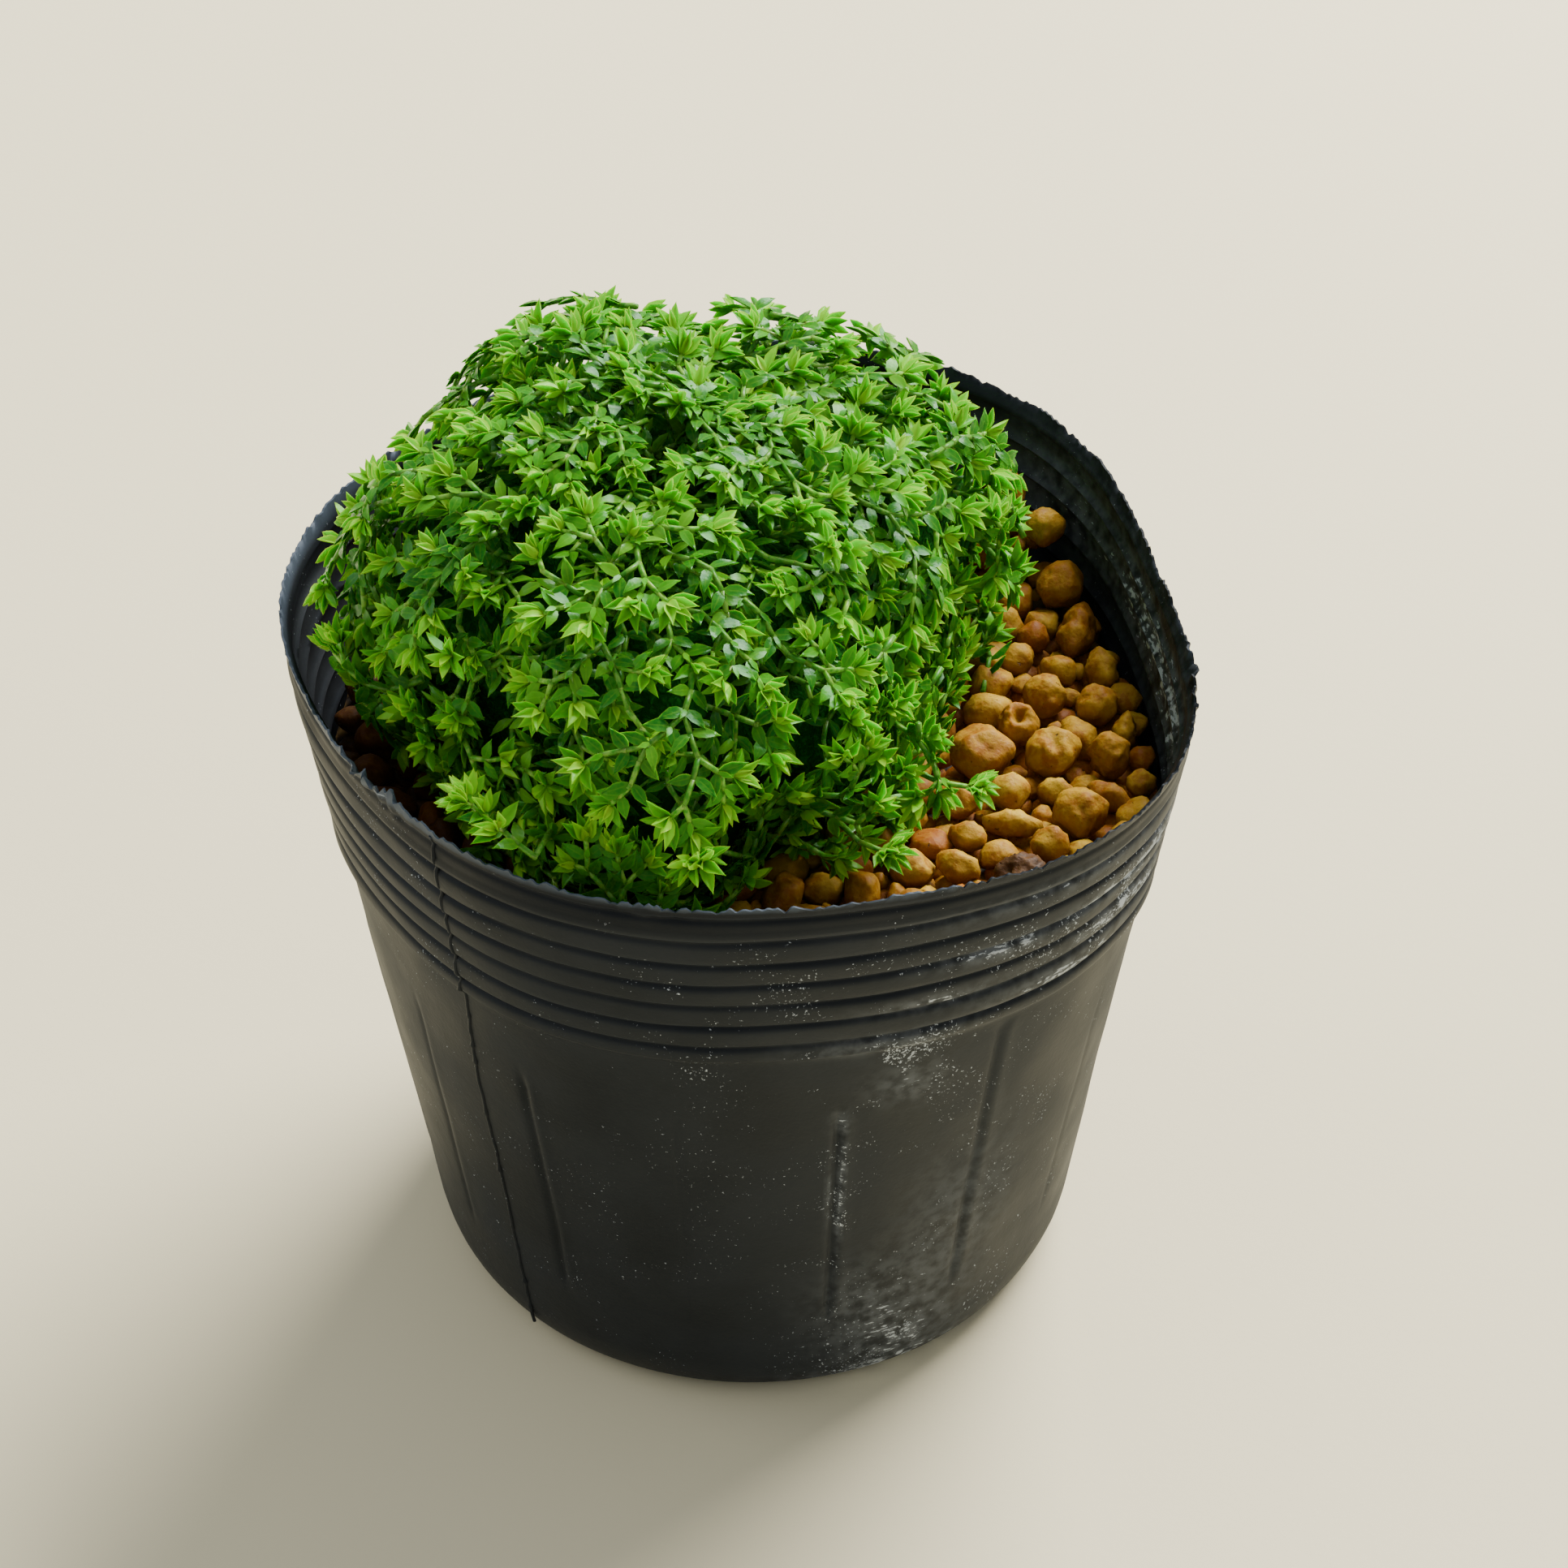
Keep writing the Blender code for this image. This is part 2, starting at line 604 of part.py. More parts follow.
def build_sprig(sprig, collection, cutters, parent, material):
    """A free shoot: a tapering stem with pairs of leaves and a fan of them at its tip."""
    name, foot_heading, foot_climb, stand_off, heading, climb, length = sprig
    ray = direction_of(math.radians(foot_heading), math.radians(foot_climb))
    foot = mound_point(ray) + ray * stand_off * MM
    heading = math.radians(heading)
    climb = math.radians(climb)
    length = length * MM
    along = direction_of(heading, climb)
    tip = foot + along * length

    stem = bmesh.new()
    bmesh.ops.create_cone(
        stem,
        cap_ends=True,
        segments=6,
        radius1=SPRIG_STEM,
        radius2=SPRIG_STEM * 0.7,
        depth=length,
        matrix=Matrix.Translation((foot + tip) / 2) @ along.to_track_quat("Z", "Y").to_matrix().to_4x4(),
    )
    item = finish_object(name, stem, collection, parent, material)

    play = random.Random(name)
    leaves = bmesh.new()
    pairs = max(1, int(length / (2.6 * MM)))
    for pair in range(pairs):
        for side in (-1, 1):
            at = foot + along * (length * (pair + 0.5 + play.uniform(0, 0.25)) / pairs)
            spread = side * math.radians(60 + play.uniform(-8, 8))
            add_leaf(leaves, at, heading + spread, climb + 0.25, play.uniform(-0.3, 0.3))
    for side in (-1, 0, 1):
        at = tip - along * play.uniform(0.2, 0.5) * MM
        spread = side * math.radians(46 + play.uniform(-6, 6))
        add_leaf(leaves, at, heading + spread, climb + 0.3, play.uniform(-0.3, 0.3))
    leaf_set = finish_cutter(name + "_leaves", leaves, cutters, parent)
    join = item.modifiers.new("leaves", "BOOLEAN")
    join.operation = "UNION"
    join.object = leaf_set
    join.use_self = True
    return item


# ---------------------------------------------------------------- the clump

def build_clump():
    clear_scene()
    collection = new_collection("moss_clump")
    cutters = new_collection("cutters")
    root = bpy.data.objects.new("moss_clump_root", None)
    collection.objects.link(root)
    root.location = (*ROOT_SHIFT, 0)

    black_film = new_material("black_film", (0.022, 0.022, 0.024), 0.42)
    packed_gravel = new_material("packed_gravel", (0.19, 0.1, 0.04), 0.9)
    ochre_grain = new_material("ochre_grain", (0.55, 0.29, 0.085), 0.6)
    dark_grain = new_material("dark_grain", (0.08, 0.055, 0.035), 0.95)
    moss_green = new_material("moss_green", (0.16, 0.38, 0.04), 0.5)
    shoot_green = new_material("shoot_green", (0.3, 0.58, 0.07), 0.45)

    build_pot(collection, cutters, root, black_film)
    build_bed(collection, root, packed_gravel)
    for grain, place in zip(GRAINS, settle_grains()):
        material = dark_grain if "dark" in grain[0] else ochre_grain
        build_grain(grain, place, collection, root, material)
    build_mound(collection, root, moss_green)
    for sprig in SPRIGS:
        build_sprig(sprig, collection, cutters, root, shoot_green)


build_clump()
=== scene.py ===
"""Looks of a spikemoss clump in a soft nursery pot, its bare side topped with ochre gravel.

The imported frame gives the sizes. Forms are worked out with the pot's foot centred on the origin and
moved to the frame's place when a piece is finished. Lengths are metres.
"""

import itertools
import math
import random

import bmesh
import bpy
import numpy as np
from mathutils import Matrix, Vector, noise
from mathutils.bvhtree import BVHTree


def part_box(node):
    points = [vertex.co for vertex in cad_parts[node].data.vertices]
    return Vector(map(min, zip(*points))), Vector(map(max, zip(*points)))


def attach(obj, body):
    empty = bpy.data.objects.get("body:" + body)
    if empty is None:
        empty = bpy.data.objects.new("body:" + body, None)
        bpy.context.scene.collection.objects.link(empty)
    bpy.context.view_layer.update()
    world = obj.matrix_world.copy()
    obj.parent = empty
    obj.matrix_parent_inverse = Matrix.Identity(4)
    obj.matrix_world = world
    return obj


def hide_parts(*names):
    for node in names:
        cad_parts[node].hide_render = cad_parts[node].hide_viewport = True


bl_info = {
    "name": "Spikemoss Clump",
    "version": (1, 0, 0),
    "blender": (4, 5, 0),
    "location": "View3D > Sidebar > Clump",
    "description": "Builds a spikemoss clump in a soft nursery pot topped with gravel",
    "category": "Add Mesh",
}

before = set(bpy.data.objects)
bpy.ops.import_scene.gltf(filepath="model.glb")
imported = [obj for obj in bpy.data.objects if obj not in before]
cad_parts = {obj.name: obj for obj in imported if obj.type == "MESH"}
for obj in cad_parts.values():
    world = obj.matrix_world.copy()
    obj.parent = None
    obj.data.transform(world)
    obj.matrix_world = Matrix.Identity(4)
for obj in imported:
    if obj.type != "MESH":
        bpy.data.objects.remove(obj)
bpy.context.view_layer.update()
BODY = "root"
MM = 0.001

# ---------------------------------------------------------------- sizes shared with the frame

ROOT_SHIFT = Vector((1.48 * MM, 0.45 * MM, 0))

POT_HEIGHT = 76 * MM
RIM_RADIUS = 44.35 * MM
BASE_RADIUS = 32.5 * MM
WALL = 0.5 * MM
RIM_LEAN = (-0.65 * MM, -0.1 * MM)
RIM_DIP = 0.83 * MM
# The soft rim is pushed out of round: (lobes, depth, direction of a lobe in degrees)
RIM_WAVES = (
    (1, 1.00 * MM, -78),
    (2, 1.17 * MM, -161),
    (3, 1.31 * MM, -146),
    (4, 0.84 * MM, -114),
    (5, 0.54 * MM, -178),
)
RIB_COUNT = 7
RIB_BAND = 21.4 * MM
WALL_SET_IN = -0.35 * MM
FLUTE_COUNT = 16
FLUTE_FIRST = -77.5             # direction in degrees
FLUTE_LOW = 14 * MM
FLUTE_HIGH = 44 * MM
FOOT_OUTER = 29.0 * MM
FOOT_INNER = 23.5 * MM
RECESS_RADIUS = 22.0 * MM
RECESS_HEIGHT = 1.2 * MM
DRAIN_RADIUS = 8.0 * MM
SIDE_DRAIN_COUNT = 6
SIDE_DRAIN_RADIUS = 3.0 * MM
SIDE_DRAIN_CIRCLE = 15.0 * MM

BED_LEVEL = 60.3 * MM
BED_HEAP = (30 * MM, 29 * MM)
BED_HEAP_RISE = 7 * MM
BED_HEAP_REACH = 10 * MM

MOUND_CENTRE = Vector((-8 * MM, 0, 70 * MM))
MOUND_HEIGHT = 29.5 * MM
MOUND_LEAN = (-0.11, 0.06)
MOUND_DEPTH = 11 * MM
MOUND_SQUARENESS = 2.35
# Reach of the cushion from its centre: (direction in degrees, reach)
MOUND_REACH = (
    (-180, 31 * MM),
    (-158, 33 * MM),
    (-140, 32 * MM),
    (-118, 32 * MM),
    (-102, 40 * MM),
    (-85, 41 * MM),
    (-66, 37 * MM),
    (-43, 33 * MM),
    (-34, 27 * MM),
    (-17, 28 * MM),
    (0, 30 * MM),
    (14, 34 * MM),
    (30, 40 * MM),
    (50, 38 * MM),
    (90, 33 * MM),
    (125, 29 * MM),
    (155, 27 * MM),
    (180, 31 * MM),
)
# Lobes and hollows of the cushion: (direction, climb and half width in degrees, rise in mm)
MOUND_LOBES = (
    (45, 60, 22, -2.8),
    (125, 64, 14, 1.0),
    (19, 17, 15, 2.4),
    (22, 40, 10, -1.2),
    (-124, 28, 14, 1.2),
    (-158, 24, 13, 1.8),
    (-50, 14, 12, 1.0),
    (176, 64, 12, -1.2),
    (-70, -8, 18, -6.0),
    (-152, -2, 22, -3.5),
)
# Free shoots: (name, direction and climb of the foot in degrees, its stand-off in mm, heading and
# climb of the shoot in degrees, length in mm)
SPRIGS = (
    ("sprig_over_rim", -104, 10.5, 2.8, 150, 22, 9.6),
    ("sprig_front", -84, 11, 1.6, -80, 8, 3.0),
    ("sprig_front_right", -42, 4, 2.0, -20, 5, 5.0),
    ("sprig_low_right", -59, 2, 2.0, -35, 4, 4.5),
)

# ---------------------------------------------------------------- sizes of the finish

POT_COLUMNS = 400
RIM_CUTS = 2                    # extra points between two columns along the torn edge
RIB_PITCH = RIB_BAND / RIB_COUNT
# Where a rib's rows lie between two crests, close together in the groove halfway
RIB_PHASES = (0, 0.15, 0.27, 0.35, 0.41, 0.46, 0.5, 0.54, 0.59, 0.65, 0.74, 0.86)
INNER_RIB_PHASES = (0.86, 0.7, 0.6, 0.5, 0.4, 0.25, 0)
GROOVE_HALF_WIDTH = 0.11        # as a share of the pitch
LIP_THICKNESS = 0.22 * MM       # the film is drawn thin at the cut edge
FLUTE_DEPTH = 0.40 * MM
FLUTE_HALF_WIDTH = 0.50 * MM
# How deep each flute is pressed, round the pot from the first
FLUTE_STRENGTHS = (
    1.0, 0.8, 0.12, 0.6, 0.4, 0.5, 0.3, 0.6, 0.5, 0.4, 0.6, 0.5, 0.4, 0.35, 0.85, 0.25)
LONG_FLUTE = 1                  # the one that runs up to the ribs
LONG_FLUTE_HIGH = 52 * MM
FLUTE_CROWDING = 0.78           # how far the columns gather at the flutes
CROWDED_BELOW = 54.5 * MM
# The welded seam down the film: (height in mm, direction in degrees)
SEAM = ((75.4, -128.7), (73.4, -128.9), (65.6, -129.3), (56, -130), (42, -131.7), (31, -131.9),
        (21, -132.1), (7.5, -132.5), (2.5, -132.6))
SEAM_RADIUS = 0.24 * MM
SEAM_STEPS = 150
SEAM_SIDES = 8

CORE_DEPTH = 6.5 * MM           # of the tangle of old stems below the leaf tips
INTERNODE = 2.1 * MM            # from one pair of leaves to the next
LEAF_SHARPNESS = math.radians(100)


# ---------------------------------------------------------------- settings

def length_setting(name, description, default):
    return bpy.props.FloatProperty(
        name=name, description=description, default=default, min=0, unit="LENGTH")


def colour_setting(name, description, default):
    return bpy.props.FloatVectorProperty(
        name=name, description=description, default=default, subtype="COLOR", min=0, max=1)


def power_setting(name, description, default):
    return bpy.props.FloatProperty(
        name=name, description=description, default=default, min=0, unit="POWER")


class PotSettings(bpy.types.PropertyGroup):
    """Form and finish of the soft pot."""

    rib_depth: length_setting("Rib Depth", "Height of a rib above the groove beside it", 0.58 * MM)
    tear_height: length_setting("Tear Height", "Height of the teeth along the cut edge", 0.3 * MM)
    dent_depth: length_setting("Dent Depth", "Depth of the shallow dents in the film", 0.22 * MM)
    film_colour: colour_setting("Film Colour", "Colour of the clean film", (0.0122, 0.0138, 0.0160))
    dust_colour: colour_setting("Dust Colour", "Colour of dust and scuffs", (0.50, 0.55, 0.61))


class GravelSettings(bpy.types.PropertyGroup):
    """Size and colours of the gravel."""

    largest: length_setting("Largest Filler", "Radius of the largest filler grain", 2.1 * MM)
    smallest: length_setting("Smallest Filler", "Radius of the smallest filler grain", 0.85 * MM)
    ochre: colour_setting("Ochre", "Colour of most grains", (0.45, 0.240, 0.012))
    pale: colour_setting("Pale", "Colour of the palest grains", (0.62, 0.385, 0.028))
    rust: colour_setting("Rust", "Colour of the reddish grains", (0.29, 0.085, 0.004))
    dark: colour_setting("Dark", "Colour of the porous grain and of specks", (0.030, 0.018, 0.009))


class MossSettings(bpy.types.PropertyGroup):
    """Size, crowding and colours of the moss."""

    leaf_length: length_setting("Leaf Length", "Length of a grown side leaf", 2.75 * MM)
    leaf_width: length_setting("Leaf Width", "Width of a grown side leaf", 1.20 * MM)
    stem_radius: length_setting("Stem Radius", "Radius of a stem below its bud", 0.22 * MM)
    spacing: length_setting("Shoot Spacing", "Least distance between two shoots' tips", 4.5 * MM)
    bud: colour_setting("Bud", "Colour of the youngest leaves", (0.335, 0.78, 0.020))
    young: colour_setting("Young", "Colour of the leaves just below a bud", (0.067, 0.38, 0.008))
    old: colour_setting("Old", "Colour of grown leaves", (0.013, 0.145, 0.008))
    stem: colour_setting("Stem", "Colour of the stems", (0.34, 0.64, 0.08))


class StageSettings(bpy.types.PropertyGroup):
    """Floor, lights and camera."""

    floor_colour: colour_setting("Floor Colour", "Colour of the plain floor", (0.92, 0.83, 0.56))
    key_power: power_setting("Key Power", "Power of the window light behind to the right", 46.0)
    fill_power: power_setting("Fill Power", "Power of the soft light from the left", 1.5)
    sky_strength: bpy.props.FloatProperty(
        name="Sky Strength", description="Strength of the even light from all round",
        default=0.5, min=0)
    lens: bpy.props.FloatProperty(
        name="Lens", description="Focal length of the camera on a 36 mm sensor",
        default=104.3, min=1, unit="CAMERA")


# ---------------------------------------------------------------- forms worked out from the sizes

def clamp(value):
    return max(0.0, min(1.0, value))


def smooth(share):
    return share * share * (3 - 2 * share)


def around(angle):
    return Vector((math.cos(angle), math.sin(angle), 0))


def direction_of(heading, climb):
    level = math.cos(climb)
    return Vector((level * math.cos(heading), level * math.sin(heading), math.sin(climb)))


def degree_aim(heading, climb):
    return direction_of(math.radians(heading), math.radians(climb))


def rim_share(height):
    """How much of the rim's distortion is felt at a height: none at the foot, all at the rim."""
    return np.maximum(0.0, height / POT_HEIGHT) ** 1.5


def rim_wave(angle):
    return sum(
        depth * np.cos(lobes * angle - math.radians(phase)) for lobes, depth, phase in RIM_WAVES)


def cone_radius(height):
    return BASE_RADIUS + (RIM_RADIUS - BASE_RADIUS) * height / POT_HEIGHT


def distort(radius, angle, height):
    """Place a point of the round pot on the real pot, whose soft rim is out of round."""
    share = rim_share(height)
    radius = radius + share * rim_wave(angle)
    return Vector((
        radius * math.cos(angle) + share * RIM_LEAN[0],
        radius * math.sin(angle) + share * RIM_LEAN[1],
        height,
    ))


def wall_reach(angle, height, clearance):
    """Radius inside the pot at a height that stays clear of its inner wall."""
    return cone_radius(height) + rim_share(height) * rim_wave(angle) - WALL - clearance


def bed_top(x, y):
    """Highest level of the packed gravel at a place: flat, but for the heap by the wall."""
    away = math.dist((x, y), BED_HEAP) / BED_HEAP_REACH
    heap = 0.5 + 0.5 * math.cos(math.pi * away) if away < 1 else 0
    return BED_LEVEL + BED_HEAP_RISE * heap


def eased_reach(degrees):
    for (left, near), (right, far) in zip(MOUND_REACH, MOUND_REACH[1:]):
        if degrees <= right:
            return near + (far - near) * smooth((degrees - left) / (right - left))
    return MOUND_REACH[-1][1]


REACH_BY_DEGREE = [eased_reach(degrees) for degrees in range(-180, 180)]


def mound_reach(heading):
    return REACH_BY_DEGREE[int(math.degrees(heading) + 180) % 360]


LOBE_END = 0.3                  # cosine of the turn beyond which a lobe isn't felt
LOBE_AIMS = [
    (degree_aim(heading, climb), math.radians(half_width) ** -2, rise * MM)
    for heading, climb, half_width, rise in MOUND_LOBES
]


def lobe_rise(direction):
    """How far lobes push the cushion's surface out in a direction, or hollows draw it in."""
    total = 0.0
    for aim, sharpness, rise in LOBE_AIMS:
        turn = direction.dot(aim)
        if turn > LOBE_END:
            total += rise * math.exp(-sharpness * math.acos(min(1.0, turn)) ** 2)
    return total


def mound_distance(direction):
    """Distance of the cushion's smooth surface from its centre, before it leans."""
    level = math.hypot(direction.x, direction.y)
    heading = math.atan2(direction.y, direction.x)
    rise = MOUND_HEIGHT if direction.z > 0 else MOUND_DEPTH
    power = MOUND_SQUARENESS
    shape = (level / mound_reach(heading)) ** power + (abs(direction.z) / rise) ** power
    return shape ** (-1 / power) + lobe_rise(direction)


def mound_point(direction, inset=0.0):
    """The cushion's smooth surface along a ray from its centre, drawn in by an inset."""
    point = direction * (mound_distance(direction) - inset)
    lift = max(0.0, point.z)
    return MOUND_CENTRE + point + Vector((*MOUND_LEAN, 0)) * lift


def mound_level(point):
    """How far a point lies outside the cushion's smooth surface. Inside it is negative."""
    offset = point - MOUND_CENTRE
    offset -= Vector((*MOUND_LEAN, 0)) * max(0.0, offset.z)
    away = offset.length
    return away - mound_distance(offset / away)


def mound_outwards(point, level):
    """Direction straight out of the cushion at a point."""
    step = 0.4 * MM
    slope = Vector((
        mound_level(point + Vector((step, 0, 0))) - level,
        mound_level(point + Vector((0, step, 0))) - level,
        mound_level(point + Vector((0, 0, step))) - level,
    ))
    return slope.normalized()


# ---------------------------------------------------------------- finishing a piece

WALL_CLEARANCE = 0.7 * MM
OVERHANG = 3                    # leaves above the rim may hang out this much per unit of height


def keep_in_pot(places):
    """Press points that would reach through the film against its inner side."""
    angle = np.arctan2(places[:, 1], places[:, 0])
    radius = np.hypot(places[:, 0], places[:, 1])
    height = np.minimum(places[:, 2], POT_HEIGHT)
    above = np.maximum(0.0, places[:, 2] - POT_HEIGHT - 1 * MM)
    limit = wall_reach(angle, height, WALL_CLEARANCE) + OVERHANG * above
    share = np.minimum(1.0, limit / np.maximum(radius, MM))
    places[:, 0] *= share
    places[:, 1] *= share
    return places


def finish_piece(name, mesh, materials, replaced):
    """Move a finished mesh to the frame's place and hand its object to the frame."""
    mesh.transform(Matrix.Translation(ROOT_SHIFT))
    for material in materials:
        mesh.materials.append(material)
    piece = bpy.data.objects.new(name, mesh)
    bpy.context.scene.collection.objects.link(piece)
    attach(piece, BODY)
    if replaced:
        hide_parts(*replaced)
    return piece


def store(mesh, name, values):
    """Keep four numbers at each point of a mesh, for its material."""
    colours = mesh.attributes.new(name, "FLOAT_COLOR", "POINT")
    colours.data.foreach_set("color", np.asarray(values, np.float32).ravel())


def mesh_from_bmesh(name, mesh_data, sharp_angle=math.radians(60)):
    mesh = bpy.data.meshes.new(name)
    mesh_data.to_mesh(mesh)
    mesh_data.free()
    mesh.shade_smooth()
    mesh.set_sharp_from_angle(angle=sharp_angle)
    return mesh


class Shape:
    """A small closed shape, made once with bmesh, as arrays that can be stamped many times."""

    def __init__(self, mesh_data, mark):
        """mark(place) gives the two numbers, along and across, that the finish reads at a point."""
        bmesh.ops.triangulate(mesh_data, faces=mesh_data.faces)
        mesh_data.verts.ensure_lookup_table()
        self.places = np.array([vert.co[:] for vert in mesh_data.verts])
        self.faces = np.array([[vert.index for vert in face.verts] for face in mesh_data.faces])
        self.marks = np.array([mark(vert.co) for vert in mesh_data.verts])
        mesh_data.free()


class Stamps:
    """Copies of small shapes, joined as arrays into one mesh."""

    def __init__(self):
        self.places = []
        self.faces = []
        self.marks = []
        self.slots = []
        self.count = 0

    def add(self, shape, feet, frames, tones, slot):
        """feet: n x 3. frames: n x 3 x 3, rows are a copy's own axes. tones: n x 2."""
        if not len(feet):
            return
        copies = len(feet)
        size = len(shape.places)
        places = np.einsum("pk,nkc->npc", shape.places, np.asarray(frames))
        places += np.asarray(feet)[:, None, :]
        marks = np.empty((copies, size, 4))
        marks[:, :, 0] = np.asarray(tones)[:, None, 0]
        marks[:, :, 1] = shape.marks[None, :, 0]
        marks[:, :, 2] = shape.marks[None, :, 1]
        marks[:, :, 3] = np.asarray(tones)[:, None, 1]
        starts = self.count + np.arange(copies) * size
        self.places.append(places.reshape(-1, 3))
        self.marks.append(marks.reshape(-1, 4))
        self.faces.append((shape.faces[None, :, :] + starts[:, None, None]).reshape(-1, 3))
        self.slots.append(np.full(copies * len(shape.faces), slot))
        self.count += copies * size

    def mesh(self, name, attribute, sharp_angle, keep=None):
        """Join what was added. attribute holds (tone, along, across, chance) at each point."""
        places = np.concatenate(self.places)
        if keep:
            places = keep(places)
        faces = np.concatenate(self.faces).astype(np.int32)
        mesh = bpy.data.meshes.new(name)
        mesh.vertices.add(len(places))
        mesh.vertices.foreach_set("co", places.astype(np.float32).ravel())
        mesh.loops.add(faces.size)
        mesh.loops.foreach_set("vertex_index", faces.ravel())
        mesh.polygons.add(len(faces))
        mesh.polygons.foreach_set("loop_start", np.arange(0, faces.size, 3, dtype=np.int32))
        mesh.polygons.foreach_set("material_index", np.concatenate(self.slots).astype(np.int32))
        mesh.update(calc_edges=True)
        store(mesh, attribute, np.concatenate(self.marks))
        mesh.shade_smooth()
        mesh.set_sharp_from_angle(angle=sharp_angle)
        return mesh


# ---------------------------------------------------------------- building node trees

class Nodes:
    """Adds nodes to one tree. Where a number or a colour is wanted, a node's output will do too."""

    def __init__(self, tree):
        self.tree = tree

    def feed(self, socket, value):
        if isinstance(value, bpy.types.NodeSocket):
            self.tree.links.new(value, socket)
        else:
            socket.default_value = value

    def add(self, kind, inputs=None, **settings):
        item = self.tree.nodes.new(kind)
        for name, value in settings.items():
            setattr(item, name, value)
        for key, value in (inputs or {}).items():
            self.feed(item.inputs[key], value)
        return item

    def math(self, operation, *values):
        return self.add("ShaderNodeMath", dict(enumerate(values)), operation=operation).outputs[0]

    def times(self, first, second):
        return self.math("MULTIPLY", first, second)

    def plus(self, first, second):
        return self.math("ADD", first, second)

    def most(self, first, second):
        return self.math("MAXIMUM", first, second)

    def ease(self, value, low, high, to_low=0.0, to_high=1.0):
        """Ease a value from one range to another, held at both ends."""
        inputs = {
            "Value": value, "From Min": low, "From Max": high, "To Min": to_low, "To Max": to_high}
        return self.add("ShaderNodeMapRange", inputs, interpolation_type="SMOOTHSTEP").outputs[0]

    def mix(self, share, first, second):
        """Mix two colours, each of three numbers or another node's output."""
        item = self.add("ShaderNodeMix", {0: share}, data_type="RGBA", clamp_factor=True)
        for key, colour in ((6, first), (7, second)):
            plain = not isinstance(colour, bpy.types.NodeSocket)
            self.feed(item.inputs[key], (*colour, 1.0) if plain else colour)
        return item.outputs[2]

    def noise(self, place, scale, detail=2.0, **inputs):
        inputs = {"Vector": place, "Scale": scale, "Detail": detail, **inputs}
        return self.add("ShaderNodeTexNoise", inputs).outputs["Fac"]

    def shared(self, name, place, **values):
        """A node of one of the shared groups, which are made when they are first wanted."""
        makers = {"fine_grit": grit_group, "soft_mottle": mottle_group}
        group = bpy.data.node_groups.get(name) or makers[name]()
        return self.add("ShaderNodeGroup", {"Coordinates": place, **values}, node_tree=group)

    def mottle(self, place, scale, contrast=1.0):
        return self.shared("soft_mottle", place, Scale=scale, Contrast=contrast).outputs["Value"]

    def grit(self, place, scale, amount):
        return self.shared("fine_grit", place, Scale=scale, Amount=amount).outputs["Mask"]


class Finish(Nodes):
    """A material under way: its tree, its shader and the object's coordinates."""

    def __init__(self, name):
        self.material = bpy.data.materials.new(name)
        self.material.use_nodes = True
        super().__init__(self.material.node_tree)
        self.shader = self.tree.nodes["Principled BSDF"]
        self.place = self.tree.nodes.new("ShaderNodeTexCoord").outputs["Object"]

    def set(self, **inputs):
        """Feed the shader's inputs. An underscore in a name stands for a space."""
        for name, value in inputs.items():
            self.feed(self.shader.inputs[name.replace("_", " ")], value)

    def bump(self, height, distance):
        bump = self.add("ShaderNodeBump", {"Height": height, "Distance": distance, "Strength": 1.0})
        self.set(Normal=bump.outputs["Normal"])

    def attribute(self, name):
        """The four numbers stored at each point: three by colour and the fourth as alpha."""
        item = self.add("ShaderNodeAttribute", attribute_name=name)
        parts = self.add("ShaderNodeSeparateColor", {"Color": item.outputs["Color"]})
        return parts.outputs[0], parts.outputs[1], parts.outputs[2], item.outputs["Alpha"]


def new_group(name, values, output):
    """A shader node group with a Coordinates input, number inputs and one output."""
    group = bpy.data.node_groups.new(name, "ShaderNodeTree")
    sockets = group.interface
    sockets.new_socket(name="Coordinates", in_out="INPUT", socket_type="NodeSocketVector")
    for label, value in values.items():
        socket = sockets.new_socket(name=label, in_out="INPUT", socket_type="NodeSocketFloat")
        socket.default_value = value
    sockets.new_socket(name=output, in_out="OUTPUT", socket_type="NodeSocketFloat")
    nodes = Nodes(group)
    return nodes, nodes.add("NodeGroupInput").outputs, nodes.add("NodeGroupOutput").inputs


def grit_group():
    """Fine speckles: a mask of separate dots."""
    nodes, start, end = new_group("fine_grit", {"Scale": 1000.0, "Amount": 0.3}, "Mask")
    dots = nodes.noise(start["Coordinates"], start["Scale"], 3.0, Roughness=0.65)
    least = nodes.ease(start["Amount"], 0.0, 1.0, 0.80, 0.42)
    nodes.feed(end["Mask"], nodes.ease(nodes.math("SUBTRACT", dots, least), 0.0, 0.06))
    return nodes.tree


def mottle_group():
    """Soft blotches, held within a band about the middle that is as wide as the contrast."""
    nodes, start, end = new_group("soft_mottle", {"Scale": 200.0, "Contrast": 0.5}, "Value")
    broad = nodes.noise(start["Coordinates"], start["Scale"], 4.0)
    half = nodes.times(start["Contrast"], 0.5)
    low = nodes.math("SUBTRACT", 0.5, half)
    high = nodes.plus(0.5, half)
    held = nodes.most(nodes.ease(broad, 0.3, 0.7), low)
    nodes.feed(end["Value"], nodes.math("MINIMUM", held, high))
    return nodes.tree


def scaled(colour, share):
    return tuple(channel * share for channel in colour)


# ---------------------------------------------------------------- materials

MEAN_RADIUS = 40 * MM
SCUFF_DRAW = 0.25               # scuffs are this much finer upwards than round the pot
# painted shade: the near black laid under the lip and in the rib grooves
LIP_SHADE = (0.004, 0.005, 0.008)
# painted highlight: the pale blue that the cut edge and the rib crests are drawn with
EDGE_HIGHLIGHT = (0.10, 0.13, 0.18)
WARM_CLOUD = 1.7                # how much brighter the film is in its clouds
VEIL = 0.26                     # most of the dust colour that the thin haze lays on


